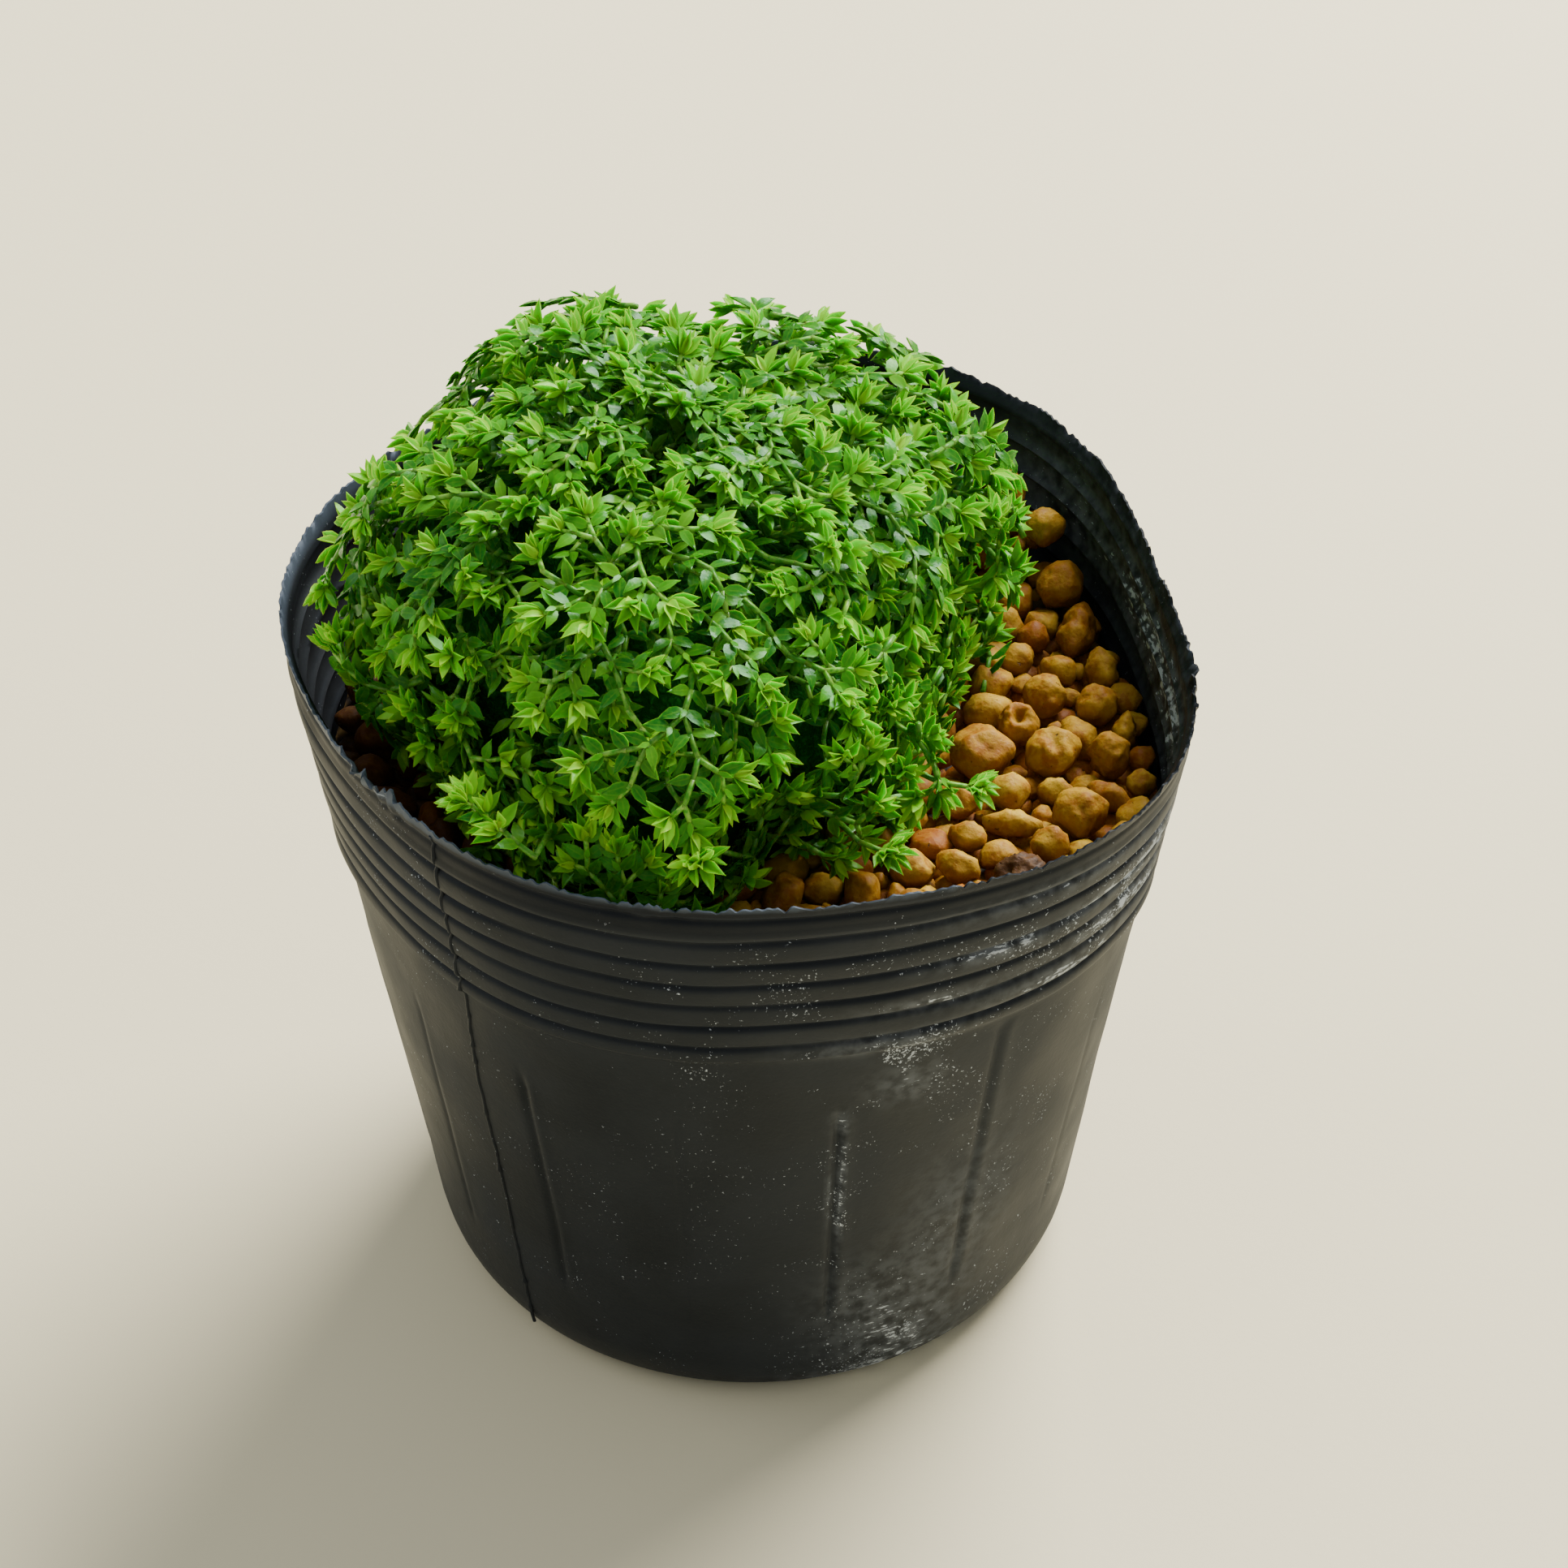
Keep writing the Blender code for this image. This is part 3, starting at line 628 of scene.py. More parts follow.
def film_material(pot):
    """Thin black film: a dull sheen, faint clouds, white dust in patches, a bluish painted highlight
    along the cut edge and the rib crests, and painted shade under the lip and in the rib grooves.
    """
    film = Finish("black_film_worn")
    place = film.place
    # edge is the painted highlight along the cut edge and the rib crests; shade is the painted shade
    # under the lip and in the rib grooves
    dust, scuff, edge, shade = film.attribute("film")
    cloud = film.mottle(place, 90.0)
    colour = film.mix(cloud, pot.film_colour, scaled(pot.film_colour, WARM_CLOUD))
    # painted shade under the lip and in the rib grooves
    colour = film.mix(shade, colour, LIP_SHADE)
    drifted = film.times(dust, film.ease(film.mottle(place, 170.0), 0.35, 0.75, 0.5, 1.2))
    specks = film.grit(place, 3000.0, drifted)
    haze = film.mottle(place, 700.0)
    spot = film.add("ShaderNodeSeparateXYZ", {"Vector": place})
    turn = film.math("ARCTAN2", spot.outputs["Y"], spot.outputs["X"])
    wrapped = film.add("ShaderNodeCombineXYZ", {
        "X": film.times(turn, SCUFF_DRAW * MEAN_RADIUS), "Z": spot.outputs["Z"]})
    streaks = film.times(film.grit(wrapped.outputs[0], 2600.0, scuff), film.ease(haze, 0.25, 0.7))
    veil = film.times(film.times(scuff, haze), VEIL)
    white = film.most(film.times(film.most(specks, streaks), 0.85), veil)
    colour = film.mix(white, colour, pot.dust_colour)
    rough = film.plus(film.plus(0.48, film.times(cloud, 0.14)), film.times(white, 0.35))
    # the edge mark paints a pale blue highlight along the cut edge and the rib crests
    film.set(
        Base_Color=film.mix(film.times(edge, 0.6), colour, EDGE_HIGHLIGHT), Roughness=rough,
        Specular_IOR_Level=0.16, Specular_Tint=(0.78, 0.90, 1.0, 1.0))
    ripples = film.times(film.noise(place, 260.0, 3.0), 4.0)
    height = film.plus(film.noise(place, 2600.0, 3.0), ripples)
    film.bump(film.plus(height, film.times(white, 1.5)), 0.02 * MM)
    return film.material


def grain_material(gravel):
    """Waxy baked grains: tone by grain, soft blotches, dark specks, pin holes, and painted shade on
    their lower sides.
    """
    grain = Finish("waxy_grain")
    place = grain.place
    tone, rise, _, chance = grain.attribute("grain")
    colour = grain.mix(grain.ease(tone, 0.0, 0.3), gravel.dark, gravel.rust)
    colour = grain.mix(grain.ease(tone, 0.3, 0.62), colour, gravel.ochre)
    colour = grain.mix(grain.ease(tone, 0.62, 1.0), colour, gravel.pale)
    burnt = grain.mix(0.8, colour, gravel.rust)
    blotch = grain.ease(grain.mottle(place, 420.0), 0.25, 0.85, 0.0, 0.9)
    colour = grain.mix(grain.times(blotch, grain.ease(tone, 0.08, 0.3, 0.15, 1.0)), colour, burnt)
    fine = grain.noise(place, 1600.0, 4.0)
    powder = grain.times(grain.ease(fine, 0.4, 0.7, 0.0, 0.65), tone)
    colour = grain.mix(powder, colour, gravel.pale)
    specks = grain.grit(place, 1250.0, grain.plus(0.24, grain.times(chance, 0.20)))
    colour = grain.mix(grain.times(specks, 0.75), colour, gravel.dark)
    # painted shade: each grain darkens towards rust and dark down its lower side
    sunk = grain.mix(0.55, gravel.rust, gravel.dark)
    colour = grain.mix(grain.ease(rise, 0.8, -0.4, 0.0, 0.72), colour, sunk)
    grain.set(
        Base_Color=colour,
        Roughness=grain.ease(fine, 0.3, 0.7, 0.50, 0.70), Specular_IOR_Level=0.22,
        Subsurface_Weight=0.25, Subsurface_Radius=(1.0, 0.5, 0.1), Subsurface_Scale=0.6 * MM)
    height = grain.plus(fine, grain.times(specks, -1.5))
    grain.bump(grain.plus(height, grain.times(grain.noise(place, 520.0, 3.0), 1.5)), 0.14 * MM)
    return grain.material


def bed_material(gravel):
    """Packed crumbs under the loose grains, darkened as painted shade, most of all between the
    crumbs.
    """
    bed = Finish("packed_crumbs")
    crumbs = bed.add("ShaderNodeTexVoronoi", {"Vector": bed.place, "Scale": 420.0})
    cells = crumbs.outputs["Distance"]
    crumb = bed.mix(0.55, gravel.dark, gravel.ochre)
    colour = bed.mix(bed.ease(cells, 0.15, 0.6), crumb, gravel.dark)
    blotch = bed.mottle(bed.place, 300.0, 0.8)
    bed.set(
        Base_Color=bed.mix(bed.times(blotch, 0.5), colour, gravel.dark),
        Roughness=bed.ease(blotch, 0.0, 1.0, 0.7, 0.95))
    bed.bump(bed.math("SUBTRACT", 1.0, cells), 0.5 * MM)
    return bed.material


def leaf_material(moss):
    """Small glossy leaves: pale in the bud and dark when grown, with a pale midrib and margin."""
    leaf = Finish("moss_leaf")
    age, along, across, chance = leaf.attribute("leaf")
    colour = leaf.mix(leaf.ease(age, 0.05, 0.5), moss.bud, moss.young)
    colour = leaf.mix(leaf.ease(age, 0.4, 0.95), colour, moss.old)
    pale = leaf.mix(0.5, colour, moss.bud)
    across = leaf.math("ABSOLUTE", across)
    rib = leaf.ease(across, 0.0, 0.22, 0.25, 0.0)
    margin = leaf.ease(across, 0.8, 1.0, 0.0, 0.12)
    foot = leaf.ease(along, 0.0, 0.3, 0.3, 0.0)
    colour = leaf.mix(leaf.most(leaf.most(rib, margin), foot), colour, pale)
    colour = leaf.mix(leaf.ease(chance, 0.55, 1.0, 0.0, 0.4), colour, scaled(moss.old, 0.6))
    colour = leaf.mix(leaf.ease(chance, 0.3, 0.0, 0.0, 0.25), colour, moss.bud)
    flecks = leaf.noise(leaf.place, 2400.0)
    leaf.set(
        Base_Color=leaf.mix(leaf.ease(flecks, 0.3, 0.7, 0.0, 0.14), colour, pale),
        Roughness=leaf.ease(age, 0.0, 1.0, 0.34, 0.24),
        Specular_IOR_Level=0.19, Specular_Tint=(0.50, 0.95, 0.72, 1.0),
        Subsurface_Weight=0.55, Subsurface_Radius=(0.35, 1.0, 0.12), Subsurface_Scale=0.45 * MM)
    leaf.bump(flecks, 0.03 * MM)
    return leaf.material


def stem_material(moss):
    """Pale juicy stems with a faint grain along them."""
    stem = Finish("moss_stem")
    age = stem.attribute("leaf")[0]
    grain = stem.noise(stem.place, 1700.0, 3.0)
    colour = stem.mix(stem.ease(grain, 0.35, 0.65), moss.stem, moss.young)
    stem.set(
        Base_Color=stem.mix(stem.ease(age, 0.5, 1.0, 0.0, 0.6), colour, moss.old),
        Roughness=stem.ease(grain, 0.3, 0.7, 0.25, 0.45), Specular_IOR_Level=0.25,
        Subsurface_Weight=0.4, Subsurface_Radius=(0.5, 1.0, 0.2), Subsurface_Scale=0.6 * MM)
    stem.bump(grain, 0.04 * MM)
    return stem.material


def core_material(moss):
    """The tangle of old stems inside the cushion: dark as old stems are, and darker still as painted
    shade.
    """
    core = Finish("moss_tangle")
    strands = core.noise(core.place, 900.0, 5.0, Distortion=1.5)
    core.set(
        Base_Color=core.mix(core.ease(strands, 0.45, 0.7), scaled(moss.old, 0.35), moss.old),
        Roughness=core.ease(strands, 0.3, 0.7, 0.9, 0.6), Specular_IOR_Level=0.05)
    core.bump(strands, 0.6 * MM)
    return core.material


def floor_material(stage):
    """A plain pale floor with the faintest unevenness."""
    floor = Finish("pale_floor")
    cloud = floor.mottle(floor.place, 6.0)
    shade = scaled(stage.floor_colour, 0.97)
    floor.set(Base_Color=floor.mix(cloud, stage.floor_colour, shade), Roughness=0.75)
    floor.bump(floor.noise(floor.place, 900.0), 0.02 * MM)
    return floor.material


# ---------------------------------------------------------------- the pot

BAND_END = POT_HEIGHT - RIB_BAND
FOOT_FADE = 6 * MM              # the film's unevenness dies out over this height at the foot
RIM_EASE = 8 * MM               # the rim's tilt dies out over this height
LIP_EASE = 3 * MM               # as does its thin, crumpled lip


def near_top(height, reach):
    """1 at the rim, and 0 at a reach or more below it."""
    return clamp((height - POT_HEIGHT + reach) / reach)


def rim_tilt(x):
    """The cut edge dips to the right."""
    return -RIM_DIP * (x - RIM_LEAN[0]) / RIM_RADIUS


def rib_shape(phase):
    """Profile of the ribbed band: 1 on a nearly level crest, and 0 in the narrow groove halfway."""
    away = abs(phase % 1 - 0.5)
    crown = 1 - 0.3 * (1 - 2 * away) ** 2
    return crown - 0.7 * math.exp(-(away / GROOVE_HALF_WIDTH) ** 2)


def flute_shape(angle, height, radius):
    """A pressed groove with a raised lip: 1 at its bottom, a little below 0 on the lip."""
    pitch = math.tau / FLUTE_COUNT
    turn = angle - math.radians(FLUTE_FIRST)
    number = round(turn / pitch)
    top = LONG_FLUTE_HIGH if number % FLUTE_COUNT == LONG_FLUTE else FLUTE_HIGH
    if not FLUTE_LOW - MM < height < top + MM:
        return 0.0
    across = (turn - number * pitch) * radius / FLUTE_HALF_WIDTH
    ends = min(1.0, (height - FLUTE_LOW + MM) / MM, (top + MM - height) / MM)
    groove = math.exp(-across * across * 1.4)
    lip = 0.4 * math.exp(-(across - 2.0) ** 2 * 1.2)
    return FLUTE_STRENGTHS[number % FLUTE_COUNT] * ends * (groove - lip)


def film_offset(angle, height, pot):
    """How far the film stands off its plain cone: ribs, dents, flutes."""
    out = around(angle)
    offset = pot.dent_depth * noise.noise(out * 2.2 + Vector((0, 0, height / (16 * MM))))
    offset += 0.3 * pot.dent_depth * noise.noise(out * 7 + Vector((4, 0, height / (5 * MM))))
    phase = (POT_HEIGHT - height) / RIB_PITCH
    if phase < RIB_COUNT + 0.02:
        strength = 0.9 + 0.4 * noise.noise(out * 3.1 + Vector((0, 5, height / (4 * MM))))
        strength *= 0.6 if phase < 1 else 1.0
        return offset + pot.rib_depth * (strength * rib_shape(phase) - 0.42)
    drop = min(1.0, (BAND_END - height) / (1.1 * MM))
    crest = pot.rib_depth * 0.5 * (1 - smooth(drop))
    set_in = WALL_SET_IN * max(0.0, (height - 5 * MM) / (BAND_END - 5 * MM))
    groove = FLUTE_DEPTH * flute_shape(angle, height, cone_radius(height))
    return offset + crest + drop * set_in - groove


def warp_angle(angle, height):
    """Gather the columns at the flutes, where the film needs the most detail."""
    crowding = FLUTE_CROWDING * clamp((CROWDED_BELOW - height) / (3 * MM))
    crowding *= min(1.0, height / (10 * MM))
    turn = FLUTE_COUNT * (angle - math.radians(FLUTE_FIRST))
    return angle - crowding * math.sin(turn) / FLUTE_COUNT


def rows_between(low, high, count):
    return [low + (high - low) * step / count for step in range(count)]


WALL_ROWS = 34
CORNER_START = 6 * MM           # height at which the wall starts to round into the foot
CORNER_STEPS = 8


def pot_rows():
    """The film's closed section: down the outside, across the foot, and up the inside."""
    outer = [POT_HEIGHT - RIB_PITCH * (rib + phase)
             for rib in range(RIB_COUNT) for phase in RIB_PHASES]
    outer += [BAND_END - depth * MM for depth in (0, 0.2, 0.4, 0.6, 0.8, 1.0, 1.3)]
    outer += rows_between(BAND_END - 1.8 * MM, CORNER_START, WALL_ROWS)
    rows = [(cone_radius(height), height) for height in outer]
    corner = cone_radius(CORNER_START) - FOOT_OUTER
    for step in range(CORNER_STEPS + 1):
        turn = math.pi / 2 * step / CORNER_STEPS
        rows.append((FOOT_OUTER + corner * math.cos(turn) ** 0.8,
                     CORNER_START - CORNER_START * math.sin(turn) ** 1.6))
    rows += [(radius, 0) for radius in (27.5 * MM, 25.5 * MM, FOOT_INNER + 0.4 * MM)]
    rows.append((FOOT_INNER - 0.4 * MM, 0.25 * MM))
    rows.append((RECESS_RADIUS + 0.3 * MM, RECESS_HEIGHT - 0.15 * MM))
    rows += [(radius, RECESS_HEIGHT)
             for radius in (RECESS_RADIUS - 0.6 * MM, 15 * MM, DRAIN_RADIUS)]
    top = RECESS_HEIGHT + WALL
    rows += [(radius, top) for radius in (DRAIN_RADIUS, 15 * MM, RECESS_RADIUS)]
    rows += [(FOOT_INNER + 0.5 * MM, WALL), (FOOT_OUTER - 1.0 * MM, WALL)]
    inner = [3 * MM, 8 * MM, 20 * MM, 35 * MM, 48 * MM]
    inner += [POT_HEIGHT - RIB_PITCH * (rib + phase)
              for rib in reversed(range(RIB_COUNT)) for phase in INNER_RIB_PHASES]
    rows += [(cone_radius(height) - WALL, height) for height in inner]
    return rows


def once_each(items):
    """The items as a list without repeats, in an order that is the same in each run."""
    return list(dict.fromkeys(items))


DRAIN_SIDES = 12


def cut_side_drains(mesh_data):
    """Six round holes through the recessed base."""
    for index in range(SIDE_DRAIN_COUNT):
        middle = around(math.tau * (index + 0.5) / SIDE_DRAIN_COUNT).xy * SIDE_DRAIN_CIRCLE

        def nearer(spot, reach):
            return (spot.xy - middle).length < reach

        for level in (RECESS_HEIGHT, RECESS_HEIGHT + WALL):
            near = [
                face for face in mesh_data.faces
                if abs(face.calc_center_median().z - level) < 0.05 * MM
                and nearer(face.calc_center_median(), SIDE_DRAIN_RADIUS + 2 * MM)
            ]
            for side in range(DRAIN_SIDES):
                out = around(math.tau * side / DRAIN_SIDES)
                whole = [face for face in near if face.is_valid]
                geom = once_each(
                    item for face in whole for item in (face, *face.edges, *face.verts))
                cut = bmesh.ops.bisect_plane(
                    mesh_data, geom=geom, dist=0.0001 * MM,
                    plane_co=(*(middle + out.xy * SIDE_DRAIN_RADIUS), level), plane_no=out)
                near = [item for item in cut["geom"] if isinstance(item, bmesh.types.BMFace)]
            inside = [
                face for face in near
                if face.is_valid and nearer(face.calc_center_median(), SIDE_DRAIN_RADIUS * 0.98)
            ]
            bmesh.ops.delete(mesh_data, geom=inside, context="FACES")
        rims = [edge for edge in mesh_data.edges
                if edge.is_boundary and nearer(edge.verts[0].co, SIDE_DRAIN_RADIUS * 1.1)]
        bmesh.ops.bridge_loops(mesh_data, edges=rims)


def rim_tear(angle, pot):
    """The tear of the cut edge is fine, with a few larger nicks and a crumple."""
    out = around(angle)
    tooth = noise.noise(out * 75) * 1.3 + noise.noise(out * 31) * 1.0
    wave = noise.noise(out * 9 + Vector((2, 0, 0))) * 1.5
    return pot.tear_height * (tooth * (1 + 2.4 * crumpled(angle)) + wave)


CRUMPLE_DEPTH = 1.2 * MM
CURL_DEPTH = 0.16 * MM          # of the fine ripples in the lip
RIB_SWAY = 0.35 * MM            # how far the ribs wander up and down


def crumpled(angle):
    """Where the cut edge is crumpled most, at the left and at the fold on the right."""
    turn = math.degrees(angle)
    return min(1.0, math.exp(-((turn + 141) / 7) ** 2) + 0.6 * math.exp(-((turn + 14) / 5) ** 2)
               + 0.5 * math.exp(-((turn + 100) / 5) ** 2))


def shape_film(mesh_data, pot):
    """Give each point of the plain turned film its place on the real one."""
    for vert in mesh_data.verts:
        radius = math.hypot(vert.co.x, vert.co.y)
        height = vert.co.z
        if radius < FOOT_OUTER + 0.2 * MM and height < 2.5 * MM:
            continue
        angle = warp_angle(math.atan2(vert.co.y, vert.co.x), height)
        lip = near_top(height, LIP_EASE)
        if radius < cone_radius(height) - WALL / 2:
            radius += (WALL - LIP_THICKNESS) * lip ** 2
        radius += film_offset(angle, height, pot) * min(1.0, height / FOOT_FADE)
        out = around(angle)
        crumple = noise.noise(out * 42 + Vector((0, 0, height / (1.6 * MM))))
        radius += CRUMPLE_DEPTH * crumpled(angle) * lip * crumple
        radius += CURL_DEPTH * lip ** 4 * noise.noise(out * 60 + Vector((0, 7, 0)))
        place = distort(radius, angle, height)
        sway = noise.noise(out * 2.6 + Vector((9, 0, height / (9 * MM))))
        place.z += RIB_SWAY * sway * clamp((height - 48 * MM) / (5 * MM)) * (1 - lip)
        tilt = rim_tilt(place.x)
        tear = rim_tear(angle, pot) if height > POT_HEIGHT - 0.1 * MM else 0.0
        place.z += tilt * near_top(height, RIM_EASE) + tear
        vert.co = place


def seam_angle(height):
    """Direction of the seam at a height, with its small wander."""
    heights = [row[0] * MM for row in reversed(SEAM)]
    angles = [row[1] for row in reversed(SEAM)]
    wander = 0.35 * noise.noise(Vector((height / (2.6 * MM), 0, 0)))
    return math.radians(float(np.interp(height, heights, angles)) + wander)


def add_seam(mesh_data, pot):
    """The weld: a thin uneven bead half sunk in the film, with knots along it."""
    top = SEAM[0][0] * MM
    foot = SEAM[-1][0] * MM
    loops = []
    for step in range(SEAM_STEPS + 1):
        height = foot + (top - foot) * step / SEAM_STEPS
        angle = seam_angle(height)
        knot = max(0.0, noise.noise(Vector((height / (1.1 * MM), 7, 0))) - 0.15)
        radius = SEAM_RADIUS * (0.75 + 1.6 * knot)
        skin = cone_radius(height) + film_offset(angle, height, pot) * min(1.0, height / FOOT_FADE)
        middle = distort(skin, angle, height)
        middle.z += rim_tilt(middle.x) * near_top(height, RIM_EASE)
        ring = bmesh.ops.create_circle(mesh_data, segments=SEAM_SIDES, radius=radius)["verts"]
        bmesh.ops.translate(mesh_data, verts=ring, vec=middle)
        loops.append(ring)
    for lower, upper in zip(loops, loops[1:]):
        edges = once_each(
            edge for ring in (lower, upper) for vert in ring for edge in vert.link_edges
            if edge.other_vert(vert) in ring)
        bmesh.ops.bridge_loops(mesh_data, edges=edges)
    for ring in (loops[0], loops[-1]):
        bmesh.ops.contextual_create(mesh_data, geom=ring)


def patched(patches, angle, height, plain=0.0):
    """How strongly soft oval patches cover a point of the film, up to 1. plain is everywhere."""
    total = 0
    for middle, level, half_angle, half_height, strength in patches:
        turn = (math.degrees(angle) - middle + 180) % 360 - 180
        climb = height / MM - level
        total += strength * math.exp(-(turn / half_angle) ** 2 - (climb / half_height) ** 2)
    return min(1.0, plain + total)


# Where the film is dusty or scuffed: (direction in degrees, height in mm, half sizes, strength)
DUST_PATCHES = (
    (-40, 63, 24, 6, 0.17),
    (-30, 58, 9, 7, 0.18),
    (-72, 54, 12, 2.5, 0.16),
    (-70, 49, 9, 5, 0.15),
    (-95, 53, 6, 2, 0.12),
    (-88, 64, 16, 7, 0.08),
    (-60, 6, 14, 6, 0.14),
    (-66, 1.5, 20, 2, 0.16),
    (-77.5, 30, 2.5, 15, 0.12),
    (-140, 64, 8, 9, 0.12),
    (-50, 30, 20, 20, 0.06),
)
SCUFF_PATCHES = (
    (-38, 61, 11, 1.3, 0.92),
    (-31, 66, 8, 3.0, 0.84),
    (-42, 66, 7, 1.2, 0.84),
    (-46, 57.5, 12, 1.2, 0.90),
    (-58, 65, 9, 1.0, 0.80),
    (-66, 60, 9, 1.0, 0.74),
    (-72, 55, 10, 1.4, 0.62),
    (-50, 71, 16, 1.4, 0.52),
    (-68, 48, 5, 2.6, 0.60),
    (-77.5, 43.8, 1.3, 0.9, 1.0),
    (-76.8, 38, 0.5, 5, 0.7),
    (-78.6, 33, 0.4, 4, 0.6),
    (-76.8, 30, 0.5, 6, 0.7),
    (-64, 6, 10, 5, 0.60),
    (-60, 1.0, 24, 2.0, 0.86),
    (-70, 14, 9, 6, 0.50),
    (-56, 22, 9, 12, 0.36),
    (-141, 76.4, 9, 1.0, 0.75),
    (-14, 76.4, 6, 1.0, 0.55),
)
INNER_SCUFF_PATCHES = (
    (-10, 68, 12, 5, 0.78),
    (12, 69, 14, 5, 0.75),
    (38, 68, 14, 6, 0.50),
    (-141, 76.4, 9, 1.0, 0.75),
    (-14, 76.4, 6, 1.0, 0.55),
)
PLAIN_DUST = 0.34               # dust that lies on the film everywhere
FILM_SHARPNESS = math.radians(70)


def paint_film(mesh):
    """Store at each point: dust, scuff, the painted highlight along the cut edge and the rib crests,
    and the painted shade under the lip and in the rib grooves.
    """
    values = np.zeros((len(mesh.vertices), 4), np.float32)
    for vert in mesh.vertices:
        angle = math.atan2(vert.co.y, vert.co.x)
        height = vert.co.z
        drop = POT_HEIGHT - height
        outside = vert.normal.x * vert.co.x + vert.normal.y * vert.co.y > 0
        phase = drop / RIB_PITCH % 1
        ribbed = 1.0 if height > BAND_END else 0.0
        # painted shade in each rib's groove, below its crest
        groove = 0.45 * ribbed * math.exp(-((phase - 0.48) / 0.10) ** 2)
        # a thin painted highlight along each rib's crest
        crest_highlight = 0.14 * ribbed * math.exp(-((phase - 0.36) / 0.05) ** 2)
        values[vert.index] = (
            patched(DUST_PATCHES, angle, height, PLAIN_DUST),
            patched(SCUFF_PATCHES if outside else INNER_SCUFF_PATCHES, angle, height),
            max(crest_highlight, min(1.0, (0.35 * MM - drop) / (0.5 * MM))),
            # painted shade: in the rib grooves and in a band under the lip
            max(groove, 0.8 * clamp(2.4 - abs(1.7 * MM - drop) / (0.9 * MM))),
        )
    store(mesh, "film", values)


class CLUMP_OT_pot(bpy.types.Operator):
    """Build the soft film pot: ribs, flutes, seam, torn edge, drains, dust and scuffs."""

    bl_idname = "clump.pot"
    bl_label = "Nursery Pot"

    def execute(self, context):
        pot = context.scene.clump_pot
        mesh_data = bmesh.new()
        section = [mesh_data.verts.new((radius, 0, height)) for radius, height in pot_rows()]
        edges = [mesh_data.edges.new(pair) for pair in zip(section, section[1:] + section[:1])]
        bmesh.ops.spin(
            mesh_data, geom=section + edges, cent=(0, 0, 0), axis=(0, 0, 1),
            angle=math.tau, steps=POT_COLUMNS, use_merge=True)
        bmesh.ops.remove_doubles(mesh_data, verts=mesh_data.verts, dist=0.002 * MM)
        bmesh.ops.recalc_face_normals(mesh_data, faces=mesh_data.faces)
        cut_side_drains(mesh_data)
        top = [edge for edge in mesh_data.edges
               if min(vert.co.z for vert in edge.verts) > POT_HEIGHT - 0.01 * MM]
        rims = [edge for edge in top
                if abs(edge.verts[0].co.xy.length - edge.verts[1].co.xy.length) < WALL / 4]
        bmesh.ops.subdivide_edges(mesh_data, edges=rims, cuts=RIM_CUTS, use_grid_fill=True)
        shape_film(mesh_data, pot)
        add_seam(mesh_data, pot)
        bmesh.ops.recalc_face_normals(mesh_data, faces=mesh_data.faces)
        mesh = mesh_from_bmesh("film_pot", mesh_data, FILM_SHARPNESS)
        paint_film(mesh)
        finish_piece("film_pot", mesh, [film_material(pot)], ["nursery_pot"])
        return {"FINISHED"}


# ---------------------------------------------------------------- the gravel

# What tells the named grains apart: (tone from dark 0 to pale 1, pits as
# (heading in degrees, climb in degrees, radius in mm, depth in mm))
GRAIN_LOOKS = {
    "pebble_big_round": (0.52, ((-30, 30, 0.8, 0.18),)),
    "pebble_dimpled": (0.66, ((-80, 62, 0.75, 0.55), (160, 60, 0.4, 0.25))),
    "pebble_pitted": (0.50, ((-100, 66, 0.8, 1.5),)),
    "pebble_tall": (0.48, ()),
    "pebble_round": (0.60, ((-20, 50, 0.5, 0.22), (-110, 20, 0.5, 0.15))),
    "pebble_rice": (0.96, ((70, 70, 0.35, 0.15),)),
    "pebble_bent": (0.44, ((-90, 20, 1.4, 0.5),)),
    "pebble_dark_porous": (0.06, ((-60, 50, 0.6, 0.5), (60, 60, 0.5, 0.4), (-150, 40, 0.6, 0.5))),
    "pebble_peanut": (0.46, ((-10, 30, 1.3, 0.6), (170, 50, 1.2, 0.5))),
    "pebble_square": (0.90, ((20, 50, 0.3, 0.2),)),
    "pebble_pillow": (0.58, ((0, 40, 0.4, 0.2),)),
    "pebble_pale": (0.92, ()),
    "pebble_pear": (0.60, ((100, 40, 1.2, 0.4),)),
    "pebble_green_spotted": (0.66, ()),
    "pebble_lumpy": (0.80, ((40, 50, 1.0, 0.4),)),
    "pebble_red_bead": (0.34, ()),
    "pebble_front_red": (0.36, ((30, 40, 0.9, 0.3),)),
    "pebble_back_large": (0.45, ()),
    "pebble_back_yellow": (0.72, ()),
    "pebble_wall_slim": (0.64, ((0, 30, 0.9, 0.3),)),
    "pebble_wall_bead": (0.84, ()),
    # a dark tone as painted shade, for the cushion's shadow on the left
    "pebble_front_left": (0.22, ()),
}
PLAIN_GRAIN = (0.6, ())
POROUS_TONE = 0.1               # grains darker than this are porous
GRAIN_SHARPNESS = math.radians(80)
CUSHION_SHADE_SIDE = -10 * MM            # the gravel left of here is darkened as painted shade, for the cushion's shadow
CUSHION_SHADE_TONE = 0.2
FILLER_SEED = 11
FILLER_ATTEMPTS = 26000
FILLER_CROWDING = 0.93          # share of two grains' radii that must lie between their middles
FILLER_TONES = (0.32, 0.45, 0.52, 0.6, 0.66, 0.74, 0.84, 0.96)
# The grains below show only in the gaps, so they lie in plain rows, with darker tones as painted
# shade
LOWER_TONES = (0.16, 0.22, 0.3, 0.36, 0.45)
LOWER_PITCH = 2.7 * MM
LOWER_ROWS = 18                 # each way from the middle


# painted shade: grains left of the cushion get darker tones, for its shadow
def shade_by_cushion(tone, x):
    return tone * (CUSHION_SHADE_TONE if x < CUSHION_SHADE_SIDE else 1)


